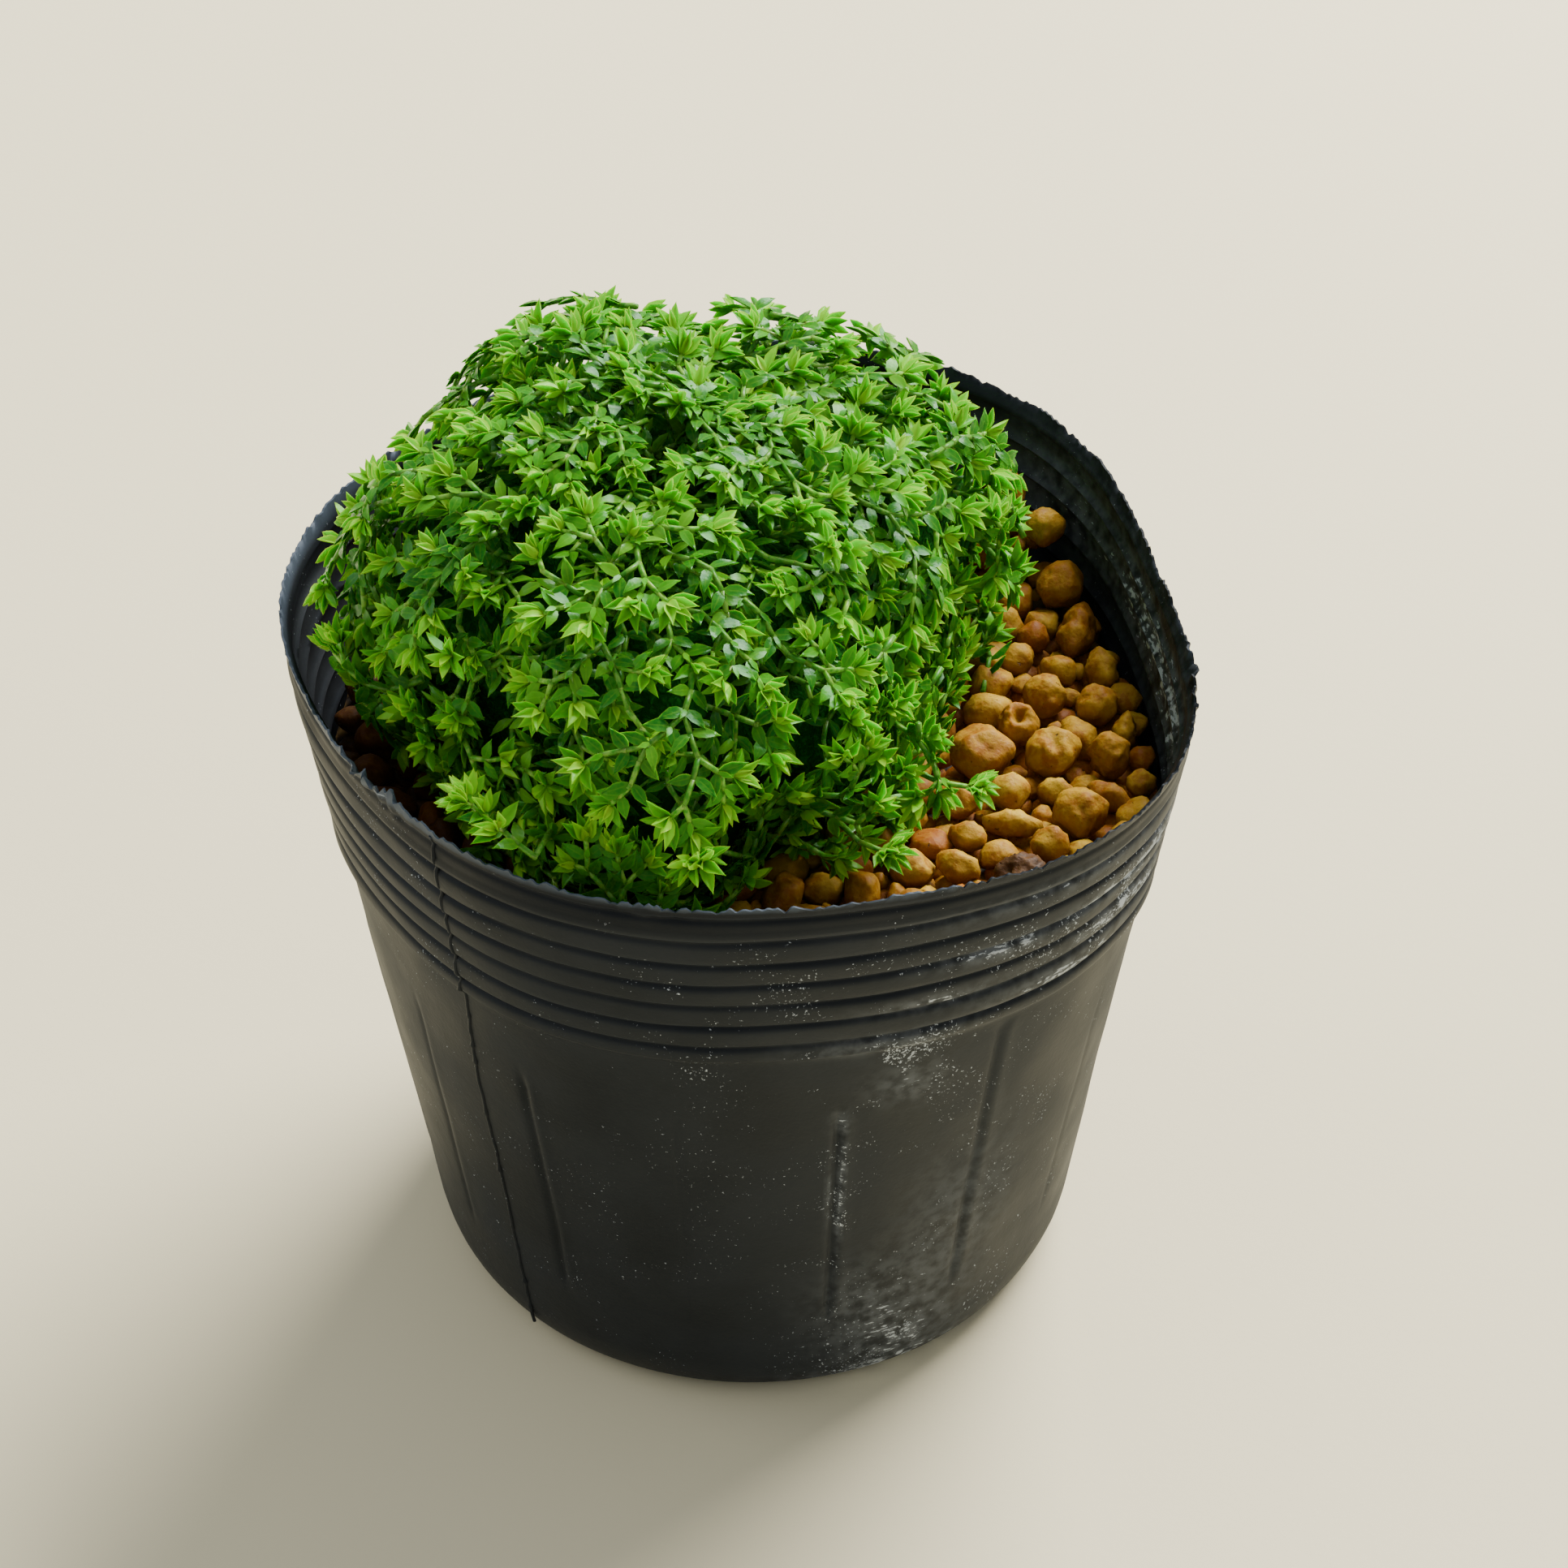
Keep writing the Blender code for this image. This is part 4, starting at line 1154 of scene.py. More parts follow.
def grain_bounds():
    """Middle and half size of each named grain, before the shift to the frame's place."""
    bounds = {}
    for name in sorted(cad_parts):
        if name.startswith("pebble_"):
            low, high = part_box(name)
            bounds[name] = ((low + high) / 2 - ROOT_SHIFT, (high - low) / 2)
    return bounds


def press_pits(mesh_data, middle, pits):
    """Press round hollows into a grain, each along its own direction from the middle."""
    for heading, climb, radius, depth in pits:
        aim = degree_aim(heading, climb)
        for vert in mesh_data.verts:
            ray = vert.co - middle
            across = (ray - aim * ray.dot(aim)).length
            if ray.dot(aim) > 0 and across < radius * MM * 1.6:
                share = across / (radius * MM)
                vert.co -= aim * depth * MM * math.exp(-share * share * 1.8)


FLAT_COUNT = 7
FLAT_REACH = (0.82, 0.95)       # share of a grain's reach that a worn flat leaves
FLAT_WEAR = 0.8                 # share of what lies beyond it that is worn off


def wear_flats(mesh_data, middle, seed):
    """Press worn flats on a grain, each along its own direction from the middle."""
    play = random.Random(seed)
    for _ in range(FLAT_COUNT):
        aim = direction_of(play.uniform(0, math.tau), math.asin(play.uniform(-0.6, 1)))
        reach = max((vert.co - middle).dot(aim) for vert in mesh_data.verts)
        limit = reach * play.uniform(*FLAT_REACH)
        for vert in mesh_data.verts:
            over = (vert.co - middle).dot(aim) - limit
            if over > 0:
                vert.co -= aim * over * FLAT_WEAR


def build_named_grain(name, middle, half, material):
    """A loose grain: the frame's solid, rounded, roughened and pitted."""
    tone, pits = GRAIN_LOOKS.get(name, PLAIN_GRAIN)
    porous = tone < POROUS_TONE
    solid = bmesh.new()
    solid.from_mesh(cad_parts[name].data)
    bmesh.ops.remove_doubles(solid, verts=solid.verts, dist=0.01 * MM)
    tree = BVHTree.FromBMesh(solid)
    solid.free()
    mesh_data = bmesh.new()
    fineness = 5 if "pitted" in name else 4 if half.y > 2 * MM else 3
    bmesh.ops.create_icosphere(mesh_data, subdivisions=fineness, radius=1)
    for vert in mesh_data.verts:
        out = vert.co.normalized()
        hit = tree.ray_cast(middle + ROOT_SHIFT + out * 20 * MM, -out)[0]
        vert.co = hit - ROOT_SHIFT
    seed = Vector((middle.x, middle.y, 0)) * 1000
    wear_flats(mesh_data, middle, int(seed.x * 10))
    for vert in mesh_data.verts:
        out = (vert.co - middle).normalized()
        lump = 0.12 * noise.noise(out * 1.7 + seed) + 0.04 * noise.noise(out * 4.5 + seed)
        if porous:
            lump += 0.10 * noise.noise(out * 6 + seed)
        vert.co += out * max(half) * lump
    bmesh.ops.smooth_vert(mesh_data, verts=mesh_data.verts, factor=0.5)
    press_pits(mesh_data, middle, pits)
    mesh = mesh_from_bmesh(name + "_grain", mesh_data, GRAIN_SHARPNESS)
    chance = 1.0 if porous else 0.5 + 0.5 * noise.noise(seed * 1.7)
    # heights in the grain, for the painted shade on its lower side
    rises = [(vert.co.z - middle.z) / half.z for vert in mesh.vertices]
    store(mesh, "grain", [(tone, rise, 0, chance) for rise in rises])
    return finish_piece(name + "_grain", mesh, [material], [name])


def grain_shape(seed, subdivisions):
    """One of the filler grains' rounded, slightly angular forms, one metre across the middle."""
    mesh_data = bmesh.new()
    bmesh.ops.create_icosphere(mesh_data, subdivisions=subdivisions, radius=1)
    offset = Vector((seed * 3.7, seed * 1.3, 0))
    for vert in mesh_data.verts:
        lump = 0.34 * noise.noise(vert.co * 0.9 + offset)
        lump += 0.12 * noise.noise(vert.co * 2.4 + offset)
        vert.co *= 1 + lump
    wear_flats(mesh_data, Vector(), seed)
    # the height in the grain is kept for the painted shade on its lower side
    return Shape(mesh_data, lambda place: (place.z, 0.0))


def near_moss(x, y):
    """How far a place on the gravel lies outside the cushion's reach; under it is negative."""
    outwards = Vector((x, y)) - MOUND_CENTRE.xy
    heading = math.atan2(outwards.y, outwards.x)
    low = direction_of(heading, math.radians(-8))
    return outwards.length - mound_reach(heading) - min(0.0, lobe_rise(low))


def scatter_fillers(gravel, play):
    """Places for filler grains in the gaps between the named ones: (x, y, radius)."""
    taken = [
        (middle.x, middle.y, 0.94 * (half.x + half.y) / 2)
        for middle, half in grain_bounds().values()
    ]
    named = len(taken)
    for attempt in range(FILLER_ATTEMPTS):
        share = attempt / FILLER_ATTEMPTS
        radius = gravel.largest + (gravel.smallest - gravel.largest) * share
        angle = play.uniform(-math.pi, math.pi)
        limit = wall_reach(angle, BED_LEVEL, 0.5 * MM) - radius
        away = limit * math.sqrt(play.random())
        x = away * math.cos(angle)
        y = away * math.sin(angle)
        if near_moss(x, y) < -8 * MM:
            continue
        if all(math.dist((x, y), row[:2]) > (radius + row[2]) * FILLER_CROWDING for row in taken):
            taken.append((x, y, radius))
    return taken[named:]


def turned_frame(play, radius, flat):
    """A random turn and stretch for a grain, as the rows of its own axes."""
    heading = Matrix.Rotation(play.uniform(0, math.tau), 3, "Z")
    tilt = Matrix.Rotation(play.uniform(-0.5, 0.5), 3, "X")
    size = Matrix.Diagonal((play.uniform(1.0, 1.25), play.uniform(0.85, 1.0), flat)) * radius
    return np.array((heading @ tilt @ size).transposed())


class CLUMP_OT_gravel(bpy.types.Operator):
    """Build the gravel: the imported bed's finish, the named grains and the fillers between them."""

    bl_idname = "clump.gravel"
    bl_label = "Gravel"

    def execute(self, context):
        gravel = context.scene.clump_gravel
        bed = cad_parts["gravel_bed"]
        bed.data.materials.clear()
        bed.data.materials.append(bed_material(gravel))
        material = grain_material(gravel)
        for name, (middle, half) in grain_bounds().items():
            build_named_grain(name, middle, half, material)
        self.build_fillers(gravel, material)
        return {"FINISHED"}

    def build_fillers(self, gravel, material):
        """The grains between the named ones, over plain rows of grains that fill the gaps."""
        play = random.Random(FILLER_SEED)
        stamps = Stamps()
        upper = [grain_shape(seed, 3) for seed in range(7)]
        lower = [grain_shape(seed, 2) for seed in range(5)]
        for x, y, radius in scatter_fillers(gravel, play):
            flat = play.uniform(0.75, 1.0)
            level = bed_top(x, y) + radius * flat * 0.9
            tone = shade_by_cushion(play.choice(FILLER_TONES) + play.uniform(-0.05, 0.05), x)
            stamps.add(play.choice(upper), [(x, y, level)], [turned_frame(play, radius, flat)],
                       [(tone, play.random())], 0)
        for row in range(-LOWER_ROWS, LOWER_ROWS + 1):
            for column in range(-LOWER_ROWS, LOWER_ROWS + 1):
                x = (column + 0.5 * (row % 2)) * LOWER_PITCH + play.uniform(-0.5, 0.5) * MM
                y = row * LOWER_PITCH * 0.87 + play.uniform(-0.5, 0.5) * MM
                reach = wall_reach(math.atan2(y, x), BED_LEVEL, 0.4 * MM)
                if math.hypot(x, y) > reach - 1.4 * MM or near_moss(x, y) < -9 * MM:
                    continue
                tone = shade_by_cushion(play.choice(LOWER_TONES), x)
                stamps.add(play.choice(lower), [(x, y, bed_top(x, y) - 0.6 * MM)],
                           [turned_frame(play, play.uniform(1.45, 1.8) * MM, 0.8)],
                           [(tone, play.random())], 0)
        mesh = stamps.mesh("filler_grains", "grain", GRAIN_SHARPNESS, keep_in_pot)
        finish_piece("filler_grains", mesh, [material], [])


# ---------------------------------------------------------------- the moss

def leaf_shape(sides, segments, widest, arch, cup):
    """A closed pointed leaf, one metre long and wide, along +X with its upper side towards +Z."""
    mesh_data = bmesh.new()
    turn = Matrix.Rotation(math.pi / 2, 4, "Y")
    bmesh.ops.create_uvsphere(
        mesh_data, u_segments=sides, v_segments=segments, radius=1, matrix=turn)
    marks = {}
    for vert in mesh_data.verts:
        along = 0.5 + 0.5 * vert.co.x
        ring = math.hypot(vert.co.y, vert.co.z)
        across = vert.co.y / ring if ring > 0.01 else 0.0
        above = vert.co.z / ring if ring > 0.01 else 0.0
        share = along / widest if along < widest else (1 - along) / (1 - widest)
        half = 0.5 * math.sin(math.pi / 2 * min(1.0, share)) ** (0.75 if along < widest else 1.45)
        belly = math.sin(math.pi * along)
        curve = arch * along * along + cup * across * across * belly
        vert.co = Vector((along, half * across, curve + (0.02 + 0.05 * belly) * above))
        marks[tuple(round(value, 5) for value in vert.co)] = (along, across)
    return Shape(mesh_data, lambda place: marks[tuple(round(value, 5) for value in place)])


def stem_shape(sides):
    """A closed stem piece of unit length along +X and unit radius, a little thicker at its foot."""
    mesh_data = bmesh.new()
    turn = Matrix.Translation((0.5, 0, 0)) @ Matrix.Rotation(math.pi / 2, 4, "Y")
    bmesh.ops.create_cone(
        mesh_data, cap_ends=True, segments=sides, radius1=1.12, radius2=0.95, depth=1.1,
        matrix=turn)
    return Shape(mesh_data, lambda place: (place.x, 0.0))


class Shoots:
    """Leaves and stem pieces gathered while shoots grow."""

    KINDS = ("bud", "side", "small", "far", "stem", "far_stem")

    def __init__(self):
        self.rows = {kind: ([], [], []) for kind in self.KINDS}

    def mark(self):
        return {kind: len(self.rows[kind][0]) for kind in self.KINDS}

    def cut_back(self, mark):
        """Drop what has grown since a mark."""
        for kind in self.KINDS:
            for rows in self.rows[kind]:
                del rows[mark[kind]:]

    def add(self, kind, foot, axes, tone):
        feet, frames, tones = self.rows[kind]
        feet.append(foot[:])
        frames.append([axis[:] for axis in axes])
        tones.append(tone)

    def leaf(self, kind, foot, direction, face, length, width, age, chance):
        """face is the side that the leaf's upper surface turns to."""
        direction = direction.normalized()
        across = face.cross(direction).normalized()
        above = direction.cross(across)
        self.add(kind, foot, (direction * length, across * width, above * length), (age, chance))

    def stem(self, kind, start, end, radius, age, chance):
        direction = end - start
        aside = direction.orthogonal().normalized() * radius
        above = direction.normalized().cross(aside)
        self.add(kind, start, (direction, aside, above), (age, chance))

    def stamp(self, shapes):
        stamps = Stamps()
        for kind in self.KINDS:
            stamps.add(shapes[kind], *self.rows[kind], 1 if "stem" in kind else 0)
        return stamps


# Small tufts and hollows of the surface: (direction and climb in degrees, radius and rise in mm)
LUMPS = (
    (115, 59, 5, 1.8),
    (58, 70, 4.5, 1.8),
    (133, 76, 6, 0.8),
    (176, 64, 6, -1.0),
    (-179, 45, 5, -1.0),
    (-160, 38, 5, -1.8),
    (28, 56, 6, -0.9),
    (40, 59, 5, -1.0),
    (30, 41, 4.5, 1.2),
    (26, 21, 5, -1.3),
    (20, 35, 6, -0.8),
    (12, 6, 5, 1.6),
    (-7, 7, 4.5, -1.0),
    (-19, 8, 4.5, 0.9),
    (-27, 0, 4.5, -0.9),
    (-43, 9, 5, 2.0),
    (-56, 5, 4.5, 1.4),
    (-66, 20, 7, 1.6),
    (-118, -3, 6, 3.2),
    (-101, 2, 5, 1.6),
    (-157, 21, 7, 0.8),
    (-145, 15, 5, 2.4),
    (-130, 8, 5.5, 2.8),
    (-122, 24, 6, 1.6),
    (-89, 19, 6, 1.2),
    (-56, 20, 6, 1.0),
    (-22, 46, 7, 1.2),
    (-112, 50, 6, 1.4),
    (-82, 36, 5, 1.0),
    (41, 68, 4.5, -2.4),
    (-64, 43, 4.2, -4.5),
    (-100, 68, 3.5, -3.0),
    (-110, 11, 5, -4.0),
    (-78, 7, 4.5, -4.2),
    (-73, 55, 3, -2.0),
    (-140, -4, 5, -3.0),
    (-108, 34, 3.2, -2.2),
    (-30, 30, 3.2, -2.0),
    (75, 35, 6, -3.0),
    (150, 30, 6, -2.5),
)
LUMP_PLACES = [
    (mound_point(degree_aim(heading, climb)), radius * MM, rise * MM)
    for heading, climb, radius, rise in LUMPS
]
SPRIG_SEED = 20
SPRIG_ROOT = 4.5 * MM           # how deep in the cushion a free shoot starts
SPRIG_TIP = 2.2 * MM            # length of its last fork with the buds
SISTER_SPACING = 0.62           # buds of one shoot may stand this much closer
SKIRT_TARGET = -1.2 * MM        # level of the shoots' buds up to the skirt's top
CROWN_TARGET = 0.6 * MM         # and at the crown
SKIRT_TOP = 74 * MM
SKIRT_FADE = 20 * MM            # height over which the level goes from one to the other
AGE_AND_SHADE_BY_DEPTH = 24 * MM          # shoots this much deeper in the cushion are older by 1, and so darker: partly older leaves, partly painted shade


def target_level(place):
    """Level above the smooth cushion that the shoots creep along at a place."""
    climb = clamp((place.z - SKIRT_TOP) / SKIRT_FADE)
    level = SKIRT_TARGET + (CROWN_TARGET - SKIRT_TARGET) * smooth(climb)
    for middle, radius, rise in LUMP_PLACES:
        away = (place - middle).length_squared / radius ** 2
        if away < 4:
            level += rise * math.exp(-away)
    return level


# Angles are in degrees. A pair of numbers is the range that a random draw is made from
LEAF_SPREAD = (42, 70)          # of side leaves from their stem
EVEN_FORK = (24, 38)            # of each arm where a stem forks evenly
MAIN_ARM = (10, 20)             # of the arm that goes on, where a side arm leaves it
SIDE_ARM = (42, 58)
BUD_OPENNESS = (0.75, 1.25)
BUD_SIZE = (0.86, 1.14)
CHANCE_SPREAD = 0.3             # of the leaves of one shoot
TIP_AGE = 0.42                  # of the stem just below a bud
AGE_PER_JOINT = 0.2
SMALL_LEAF = (0.55, 0.5)        # length and width of the leaves on top of a stem, as shares
JOINTS_PER_FORK = 1.7           # stem pieces from a fork to the next, on average
ROOM_PER_FORK = 1.9             # the same, with a little to spare
CLIMB_LIMITS = (-0.5, 0.8)      # sine of the slope at which a stem may creep down or up


class Grower:
    """Grows forked shoots that creep over the cushion, where their buds find room."""

    def __init__(self, moss, seed, spacing, depth, far=False):
        self.moss = moss
        self.play = random.Random(seed)
        self.spacing = spacing
        self.depth = depth
        self.far = far
        self.cells = {}
        self.shoots = None
        self.tone = 0.0
        self.offset = 0.0
        self.new_tips = []

    def cell(self, place):
        return tuple(int(math.floor(value / self.spacing)) for value in place)

    def has_room(self, place):
        if any((other - place).length < self.spacing * SISTER_SPACING for other in self.new_tips):
            return False
        x, y, z = self.cell(place)
        return not any(
            (other - place).length < self.spacing
            for dx, dy, dz in itertools.product((-1, 0, 1), repeat=3)
            for other in self.cells.get((x + dx, y + dy, z + dz), ()))

    def settle(self):
        """Keep the new tips, so that later shoots stay clear of them."""
        for place in self.new_tips:
            self.cells.setdefault(self.cell(place), []).append(place)
        self.new_tips = []

    def tilt(self, low, high):
        return math.radians(self.play.uniform(low, high))

    def chance(self):
        return clamp(self.tone + self.play.uniform(-CHANCE_SPREAD, CHANCE_SPREAD))

    def steer(self, foot, heading, left):
        """Turn a stem so that it comes up to its own level and then creeps along the cushion."""
        level = mound_level(foot)
        outwards = mound_outwards(foot, level)
        climb = (target_level(foot) + self.offset - level) / (0.45 * left)
        climb = max(CLIMB_LIMITS[0], min(CLIMB_LIMITS[1], climb))
        flat = heading - outwards * heading.dot(outwards)
        wanted = flat.normalized() * math.sqrt(1 - climb * climb) + outwards * climb
        return (heading * 0.4 + wanted * 0.6).normalized(), outwards

    def pair(self, foot, heading, side, up, age):
        """Two side leaves and, now and then, a small one on top of the stem."""
        play = self.play
        size = 0.82 + 0.2 * age
        for sign in (-1, 1):
            spread = self.tilt(*LEAF_SPREAD)
            lift = play.uniform(-0.12, 0.36)
            direction = heading * math.cos(spread) + side * sign * math.sin(spread) + up * lift
            face = up + side * sign * play.uniform(-0.4, 0.2) - heading * play.uniform(-0.1, 0.35)
            length = self.moss.leaf_length * size * play.uniform(0.86, 1.12)
            width = self.moss.leaf_width * size * play.uniform(0.9, 1.12)
            kind = "far" if self.far else "side"
            self.shoots.leaf(kind, foot, direction, face, length, width, age, self.chance())
        if self.far or play.random() < 0.45:
            return
        sign = play.choice((-1, 1))
        direction = heading + side * sign * 0.3 + up * play.uniform(0.15, 0.5)
        length = self.moss.leaf_length * SMALL_LEAF[0]
        width = self.moss.leaf_width * SMALL_LEAF[1]
        self.shoots.leaf("small", foot + up * self.moss.stem_radius, direction, up,
                         length, width, age * 0.7, self.chance())

    # Leaves of a bud: (turn to the side and climb in degrees, length, width, age)
    BUD = (
        (-70, 2, 1.02, 0.95, 0.44),
        (66, 6, 1.02, 0.95, 0.44),
        (-38, 30, 1.04, 0.88, 0.24),
        (35, 22, 1.06, 0.88, 0.22),
        (-22, -16, 1.04, 0.88, 0.36),
        (20, -28, 1.02, 0.88, 0.38),
        (-12, 46, 0.84, 0.66, 0.02),
        (12, 14, 0.94, 0.70, 0.0),
    )
    FAR_BUD = (
        (-52, 8, 0.95, 0.95, 0.55),
        (50, 8, 0.95, 0.95, 0.55),
        (-12, 26, 0.95, 0.95, 0.35),
        (14, -8, 0.90, 0.90, 0.30),
    )

    def bud(self, foot, heading, side, up):
        """A cupped bud, wider than it is deep, with its youngest leaves in the middle."""
        play = self.play
        roll = Matrix.Rotation(play.uniform(-0.5, 0.5), 3, heading)
        side = roll @ side
        up = roll @ up
        openness = play.uniform(*BUD_OPENNESS)
        size = play.uniform(*BUD_SIZE)
        mirror = play.choice((-1, 1))
        for turn, climb, length, width, age in (self.FAR_BUD if self.far else self.BUD):
            turn = math.radians(turn * openness * mirror + play.uniform(-7, 7))
            climb = math.radians(climb * openness + play.uniform(-7, 7))
            level = heading * math.cos(turn) + side * math.sin(turn)
            direction = level * math.cos(climb) + up * math.sin(climb)
            face = up * math.cos(climb) - heading * math.sin(climb) - side * 0.7 * math.sin(turn)
            # deeper buds are drawn older and darker: partly older leaves, partly painted shade
            self.shoots.leaf(
                "far" if self.far else "bud", foot - heading * 0.25 * MM, direction, face,
                self.moss.leaf_length * length * size * play.uniform(0.9, 1.1),
                self.moss.leaf_width * width * size * play.uniform(0.88, 1.1),
                age - self.depth / AGE_AND_SHADE_BY_DEPTH, self.chance())

    def internode(self, foot, heading, age, length):
        tip = foot + heading * length
        radius = self.moss.stem_radius * (1 + 0.3 * age)
        self.shoots.stem("far_stem" if self.far else "stem", foot, tip, radius, age, self.chance())
        return tip

    def stem(self, foot, heading, side, forks, lean):
        """Grow a stem up to its fork and then both arms, or up to its bud.

        Returns whether any bud of it found room. A stem without one is dropped."""
        mark = self.shoots.mark()
        kept_tips = len(self.new_tips)
        play = self.play
        joints = play.choice((1, 2, 2))
        kink = play.choice((-1, 1))
        for joint in range(joints):
            left = (forks * ROOM_PER_FORK + joints - joint) * INTERNODE
            heading, outwards = self.steer(foot, heading, left)
            across = heading.cross(outwards)
            if across.length > 0.35:
                side = across.normalized()
            side = (side - heading * side.dot(heading)).normalized()
            up = side.cross(heading)
            heading = (heading + side * kink * play.uniform(0.05, 0.16)).normalized()
            kink = -kink
            below = forks * JOINTS_PER_FORK + joints - joint - 1
            # deeper stems and their leaves are drawn older and darker: partly age, partly painted
            # shade
            age = min(1.0, TIP_AGE - self.depth / AGE_AND_SHADE_BY_DEPTH + AGE_PER_JOINT * below)
            shortness = 1.0 if forks else 0.62 if joint else 0.8
            length = INTERNODE * play.uniform(0.85, 1.2) * shortness
            foot = self.internode(foot, heading, age, length)
            if joint < joints - 1 or not forks or play.random() < 0.8:
                self.pair(foot - heading * play.uniform(0.1, 0.5) * MM, heading, side, up, age)
        if not forks:
            if self.has_room(foot):
                self.new_tips.append(foot)
                heading = (heading * 0.9 + up * play.uniform(-0.05, 0.45)).normalized()
                self.bud(foot, heading, side, up)
                return True
            self.shoots.cut_back(mark)
            return False
        if forks == 1 or play.random() < 0.35:
            spreads = (self.tilt(*EVEN_FORK) * lean, -self.tilt(*EVEN_FORK) * lean)
            arms = (forks - 1, forks - 1)
        else:
            spreads = (self.tilt(*MAIN_ARM) * lean, -self.tilt(*SIDE_ARM) * lean)
            arms = (forks - 1, play.choice((0, 1)))
        grown = False
        for spread, arm_forks in zip(spreads, arms):
            arm = heading * math.cos(spread) + side * math.sin(spread)
            arm += up * play.uniform(-0.12, 0.16)
            grown |= self.stem(foot, arm.normalized(), side, arm_forks, -lean)
        if not grown:
            self.shoots.cut_back(mark)
            del self.new_tips[kept_tips:]
        return grown


LOWEST_AIM = -0.42              # sine of the climb of the lowest place that shoots are aimed at
STRAY = 0.75                    # how far shoots stray from growing straight away from the middle
FULL_SHOOTS = 0.25              # share of the attempts that start shoots with all their forks
ROOT_DEPTH = 4.0 * MM


def grow_layer(grower, attempts, forks, sectors):
    """Grow shoots towards random places of the cushion until hardly any more find room."""
    play = grower.play
    for attempt in range(attempts):
        heading = play.uniform(-math.pi, math.pi)
        direction = direction_of(heading, math.asin(play.uniform(LOWEST_AIM, 1.0)))
        surface = mound_point(direction)
        if surface.z < BED_LEVEL + 2 * MM:
            continue
        outwards = mound_outwards(surface, mound_level(surface))
        grower.offset = grower.depth + play.uniform(-1.5, 1.2) * MM
        aim = surface + outwards * (target_level(surface) + grower.offset)
        place = surface - MOUND_CENTRE
        stray = Vector([play.uniform(-1, 1) for _ in range(3)]) * STRAY
        along = Vector((place.x, place.y, 0)).normalized() + stray
        along -= outwards * along.dot(outwards)
        top_forks = forks if attempt < attempts * FULL_SHOOTS else play.choice((forks - 1, 1, 0))
        grower.tone = play.uniform(0.2, 0.75)
        if along.length < 0.2 or not grower.has_room(aim):
            continue
        along.normalize()
        run = (top_forks * JOINTS_PER_FORK + 1.4) * INTERNODE
        depth = (ROOT_DEPTH - grower.depth) * play.uniform(0.85, 1.15)
        foot = surface - outwards * depth - along * run * 0.95
        foot.z = max(foot.z, BED_LEVEL + 1.5 * MM)
        heading = (outwards * play.uniform(0.35, 0.8) + along).normalized()
        side = heading.cross(outwards)
        turn = (math.degrees(math.atan2(place.y, place.x)) + 180) / 360
        grower.shoots = sectors[int(turn * len(sectors)) % len(sectors)]
        if grower.stem(foot, heading, side.normalized(), top_forks, play.choice((-1, 1))):
            grower.settle()


SECTOR_NAMES = (
    "left", "front_left", "front", "front_right", "right", "back_right", "back", "back_left")
# Layers of shoots: (seed, share of the spacing, depth, attempts, forks, whether of far shoots)
LAYERS = (
    (3, 1.0, -0.4 * MM, 3200, 3, False),
    (5, 1.08, -2.4 * MM, 2200, 2, False),
    (4, 0.98, -4.6 * MM, 2200, 2, True),
)


def leaf_shapes():
    """The shapes that are stamped, by kind."""
    return {
        "bud": leaf_shape(4, 6, 0.40, 0.12, 0.20),
        "side": leaf_shape(4, 6, 0.42, -0.10, 0.10),
        "small": leaf_shape(4, 4, 0.42, 0.05, 0.10),
        "far": leaf_shape(3, 5, 0.45, -0.06, 0.08),
        "stem": stem_shape(5),
        "far_stem": stem_shape(4),
    }


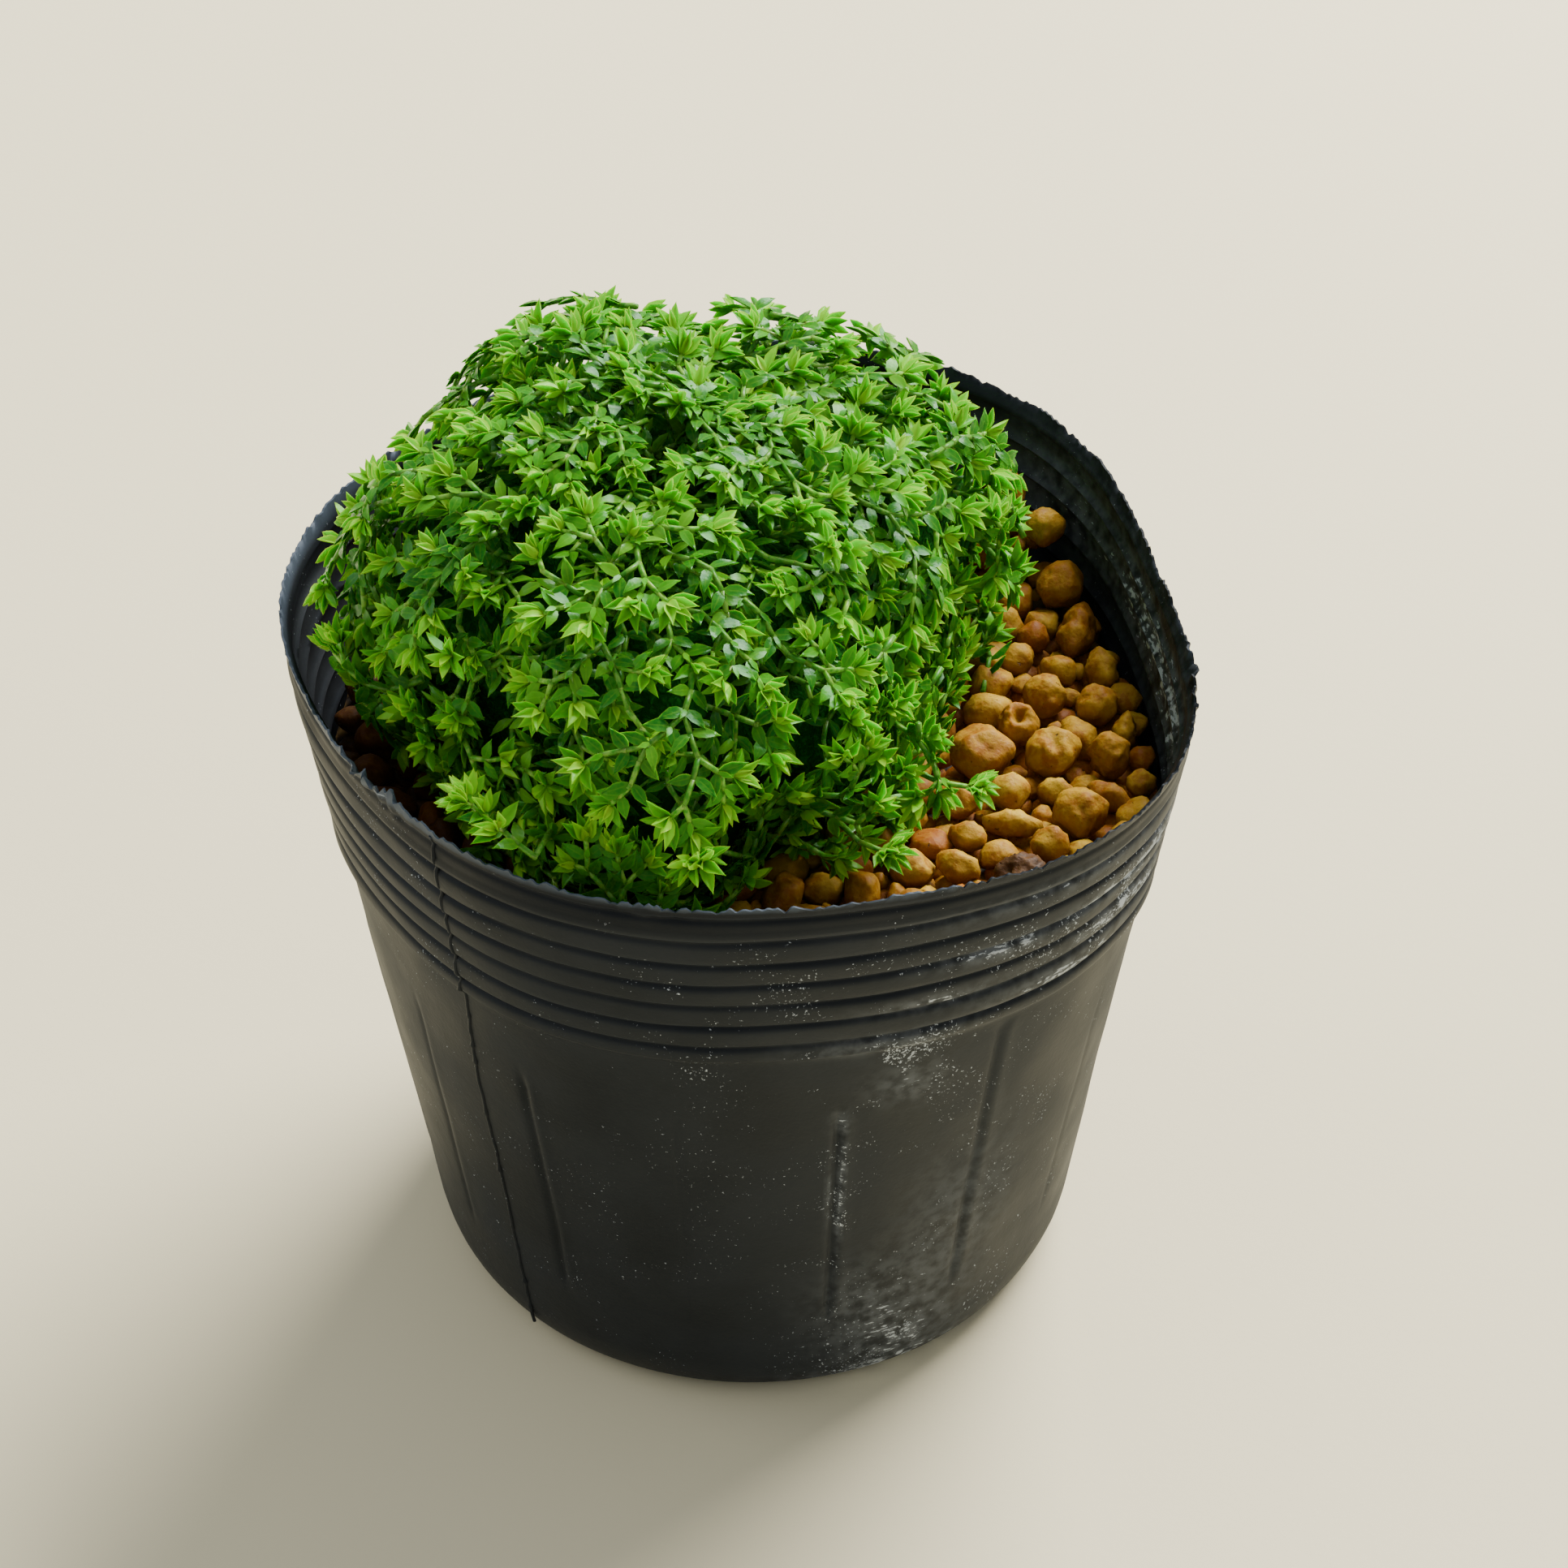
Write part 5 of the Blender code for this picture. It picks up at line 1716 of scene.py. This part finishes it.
class CLUMP_OT_moss(bpy.types.Operator):
    """Grow the cushion: a tangle inside, dark partly as painted shade, layers of leafy shoots over
    it, and free shoots.
    """

    bl_idname = "clump.moss"
    bl_label = "Moss Cushion"

    def execute(self, context):
        moss = context.scene.clump_moss
        materials = [leaf_material(moss), stem_material(moss)]
        self.build_core(moss)
        shapes = leaf_shapes()
        sectors = [Shoots() for _ in SECTOR_NAMES]
        for seed, spread, depth, attempts, forks, far in LAYERS:
            grower = Grower(moss, seed, moss.spacing * spread, depth, far)
            grow_layer(grower, attempts, forks, sectors)
        for label, shoots in zip(SECTOR_NAMES, sectors):
            name = "moss_shoots_" + label
            mesh = shoots.stamp(shapes).mesh(name, "leaf", LEAF_SHARPNESS, keep_in_pot)
            finish_piece(name, mesh, materials, ["moss_mound"])
        self.build_sprigs(moss, shapes, materials)
        return {"FINISHED"}

    def build_core(self, moss):
        mesh_data = bmesh.new()
        bmesh.ops.create_icosphere(mesh_data, subdivisions=5, radius=1)
        for vert in mesh_data.verts:
            direction = vert.co.normalized()
            tangle = 1.3 * MM * noise.noise(direction * 9) + 0.8 * MM * noise.noise(direction * 24)
            vert.co = mound_point(direction, CORE_DEPTH - tangle)
            vert.co.z = max(vert.co.z, BED_LEVEL + 0.2 * MM)
        mesh = mesh_from_bmesh("moss_tangle", mesh_data)
        finish_piece("moss_tangle", mesh, [core_material(moss)], ["moss_mound"])

    def build_sprigs(self, moss, shapes, materials):
        """The shoots that stand free, each where its solid is."""
        for number, sprig in enumerate(SPRIGS):
            name, foot_turn, foot_climb, stand_off, turn, climb, length = sprig
            ray = degree_aim(foot_turn, foot_climb)
            foot = mound_point(ray) + ray * stand_off * MM
            heading = degree_aim(turn, climb)
            side = heading.cross(Vector((0, 0, 1))).normalized()
            grower = Grower(moss, SPRIG_SEED + number, 0.2 * MM, 0)
            grower.shoots = Shoots()
            # painted light: a low tone pales the free shoots' leaves, so they read as lit against the
            # cushion
            grower.tone = 0.1
            root = foot - ray * SPRIG_ROOT
            grower.internode(root, (foot - root).normalized(), 0.9, SPRIG_ROOT)
            run = max(0.8 * MM, length * MM - SPRIG_TIP)
            joints = max(1, round(run / INTERNODE))
            for joint in range(joints):
                age = min(1.0, 0.5 + 0.2 * (joints - joint))
                foot = grower.internode(foot, heading, age, run / joints)
                up = side.cross(heading)
                grower.pair(foot, heading, side, up, age)
                if joint:
                    arm = (heading + side * 0.9 * (-1) ** joint + up * 0.2).normalized()
                    grower.bud(grower.internode(foot, arm, 0.3, 0.8 * MM), arm, side, up)
                heading = (heading + side * 0.12 * (-1) ** joint).normalized()
            for lean in (-0.45, 0.5):
                arm = (heading + side * lean).normalized()
                tip = grower.internode(foot, arm, 0.3, 0.9 * MM)
                grower.bud(tip, arm, side, side.cross(heading))
            mesh = grower.shoots.stamp(shapes).mesh(name + "_shoot", "leaf", LEAF_SHARPNESS)
            finish_piece(name + "_shoot", mesh, materials, [name])


# ---------------------------------------------------------------- the stage

CAMERA_PLACE = Vector((4.684 * MM, -348.4 * MM, 337.67 * MM))
CAMERA_TILT = math.radians(90 - 39.174)
SENSOR_WIDTH = 36               # of the camera, in its own millimetres
FLOOR_REACH = 3
LIGHT_TARGET = Vector((0, 0, 0.06))
SKY_COLOUR = (0.93, 0.97, 1.0, 1.0)
# Lights: (name, diameter, place, colour)
WINDOW = ("window", 0.9, (0.55, 0.75, 0.9), (1.0, 0.975, 0.92))
LEFT_FILL = ("left_fill", 0.6, (-0.75, 0.1, 0.5), (0.95, 0.98, 1.0))


def add_area_light(name, size, place, colour, power):
    """A round soft light turned to the clump."""
    data = bpy.data.lights.new(name, "AREA")
    data.energy = power
    data.shape = "DISK"
    data.size = size
    data.color = colour
    lamp = bpy.data.objects.new(name, data)
    bpy.context.scene.collection.objects.link(lamp)
    lamp.location = place
    lamp.rotation_euler = (LIGHT_TARGET - Vector(place)).to_track_quat("-Z", "Y").to_euler()


class CLUMP_OT_stage(bpy.types.Operator):
    """Set up the plain floor, the soft lights and the camera."""

    bl_idname = "clump.stage"
    bl_label = "Stage"

    def execute(self, context):
        stage = context.scene.clump_stage
        mesh_data = bmesh.new()
        bmesh.ops.create_grid(mesh_data, x_segments=8, y_segments=8, size=FLOOR_REACH)
        mesh = mesh_from_bmesh("floor", mesh_data)
        mesh.materials.append(floor_material(stage))
        floor = bpy.data.objects.new("floor", mesh)
        context.scene.collection.objects.link(floor)

        world = bpy.data.worlds.new("even_sky")
        world.use_nodes = True
        sky = world.node_tree.nodes["Background"]
        sky.inputs["Color"].default_value = SKY_COLOUR
        sky.inputs["Strength"].default_value = stage.sky_strength
        context.scene.world = world
        add_area_light(*WINDOW, stage.key_power)
        add_area_light(*LEFT_FILL, stage.fill_power)

        data = bpy.data.cameras.new("camera")
        data.lens = stage.lens
        data.sensor_width = SENSOR_WIDTH
        camera = bpy.data.objects.new("camera", data)
        context.scene.collection.objects.link(camera)
        camera.location = CAMERA_PLACE
        camera.rotation_euler = (CAMERA_TILT, 0, 0)
        context.scene.camera = camera
        return {"FINISHED"}


# ---------------------------------------------------------------- the panel and the whole build

class CLUMP_PT_panel(bpy.types.Panel):
    """Lists the clump's pieces and their settings."""

    bl_idname = "CLUMP_PT_panel"
    bl_label = "Spikemoss Clump"
    bl_space_type = "VIEW_3D"
    bl_region_type = "UI"
    bl_category = "Clump"

    def draw(self, context):
        for operator, settings in zip(OPERATORS, SETTINGS):
            box = self.layout.box()
            box.operator(operator.bl_idname)
            for name in settings.__annotations__:
                box.prop(getattr(context.scene, SETTINGS[settings]), name)


SETTINGS = {
    PotSettings: "clump_pot",
    GravelSettings: "clump_gravel",
    MossSettings: "clump_moss",
    StageSettings: "clump_stage",
}
OPERATORS = (CLUMP_OT_pot, CLUMP_OT_gravel, CLUMP_OT_moss, CLUMP_OT_stage)


def register():
    for item in (*SETTINGS, *OPERATORS, CLUMP_PT_panel):
        bpy.utils.register_class(item)
    for settings, name in SETTINGS.items():
        setattr(bpy.types.Scene, name, bpy.props.PointerProperty(type=settings))


def unregister():
    for name in SETTINGS.values():
        delattr(bpy.types.Scene, name)
    for item in reversed((*SETTINGS, *OPERATORS, CLUMP_PT_panel)):
        bpy.utils.unregister_class(item)


def main():
    register()
    bpy.ops.clump.pot()
    bpy.ops.clump.gravel()
    bpy.ops.clump.moss()
    bpy.ops.clump.stage()


if __name__ == "__main__":
    main()
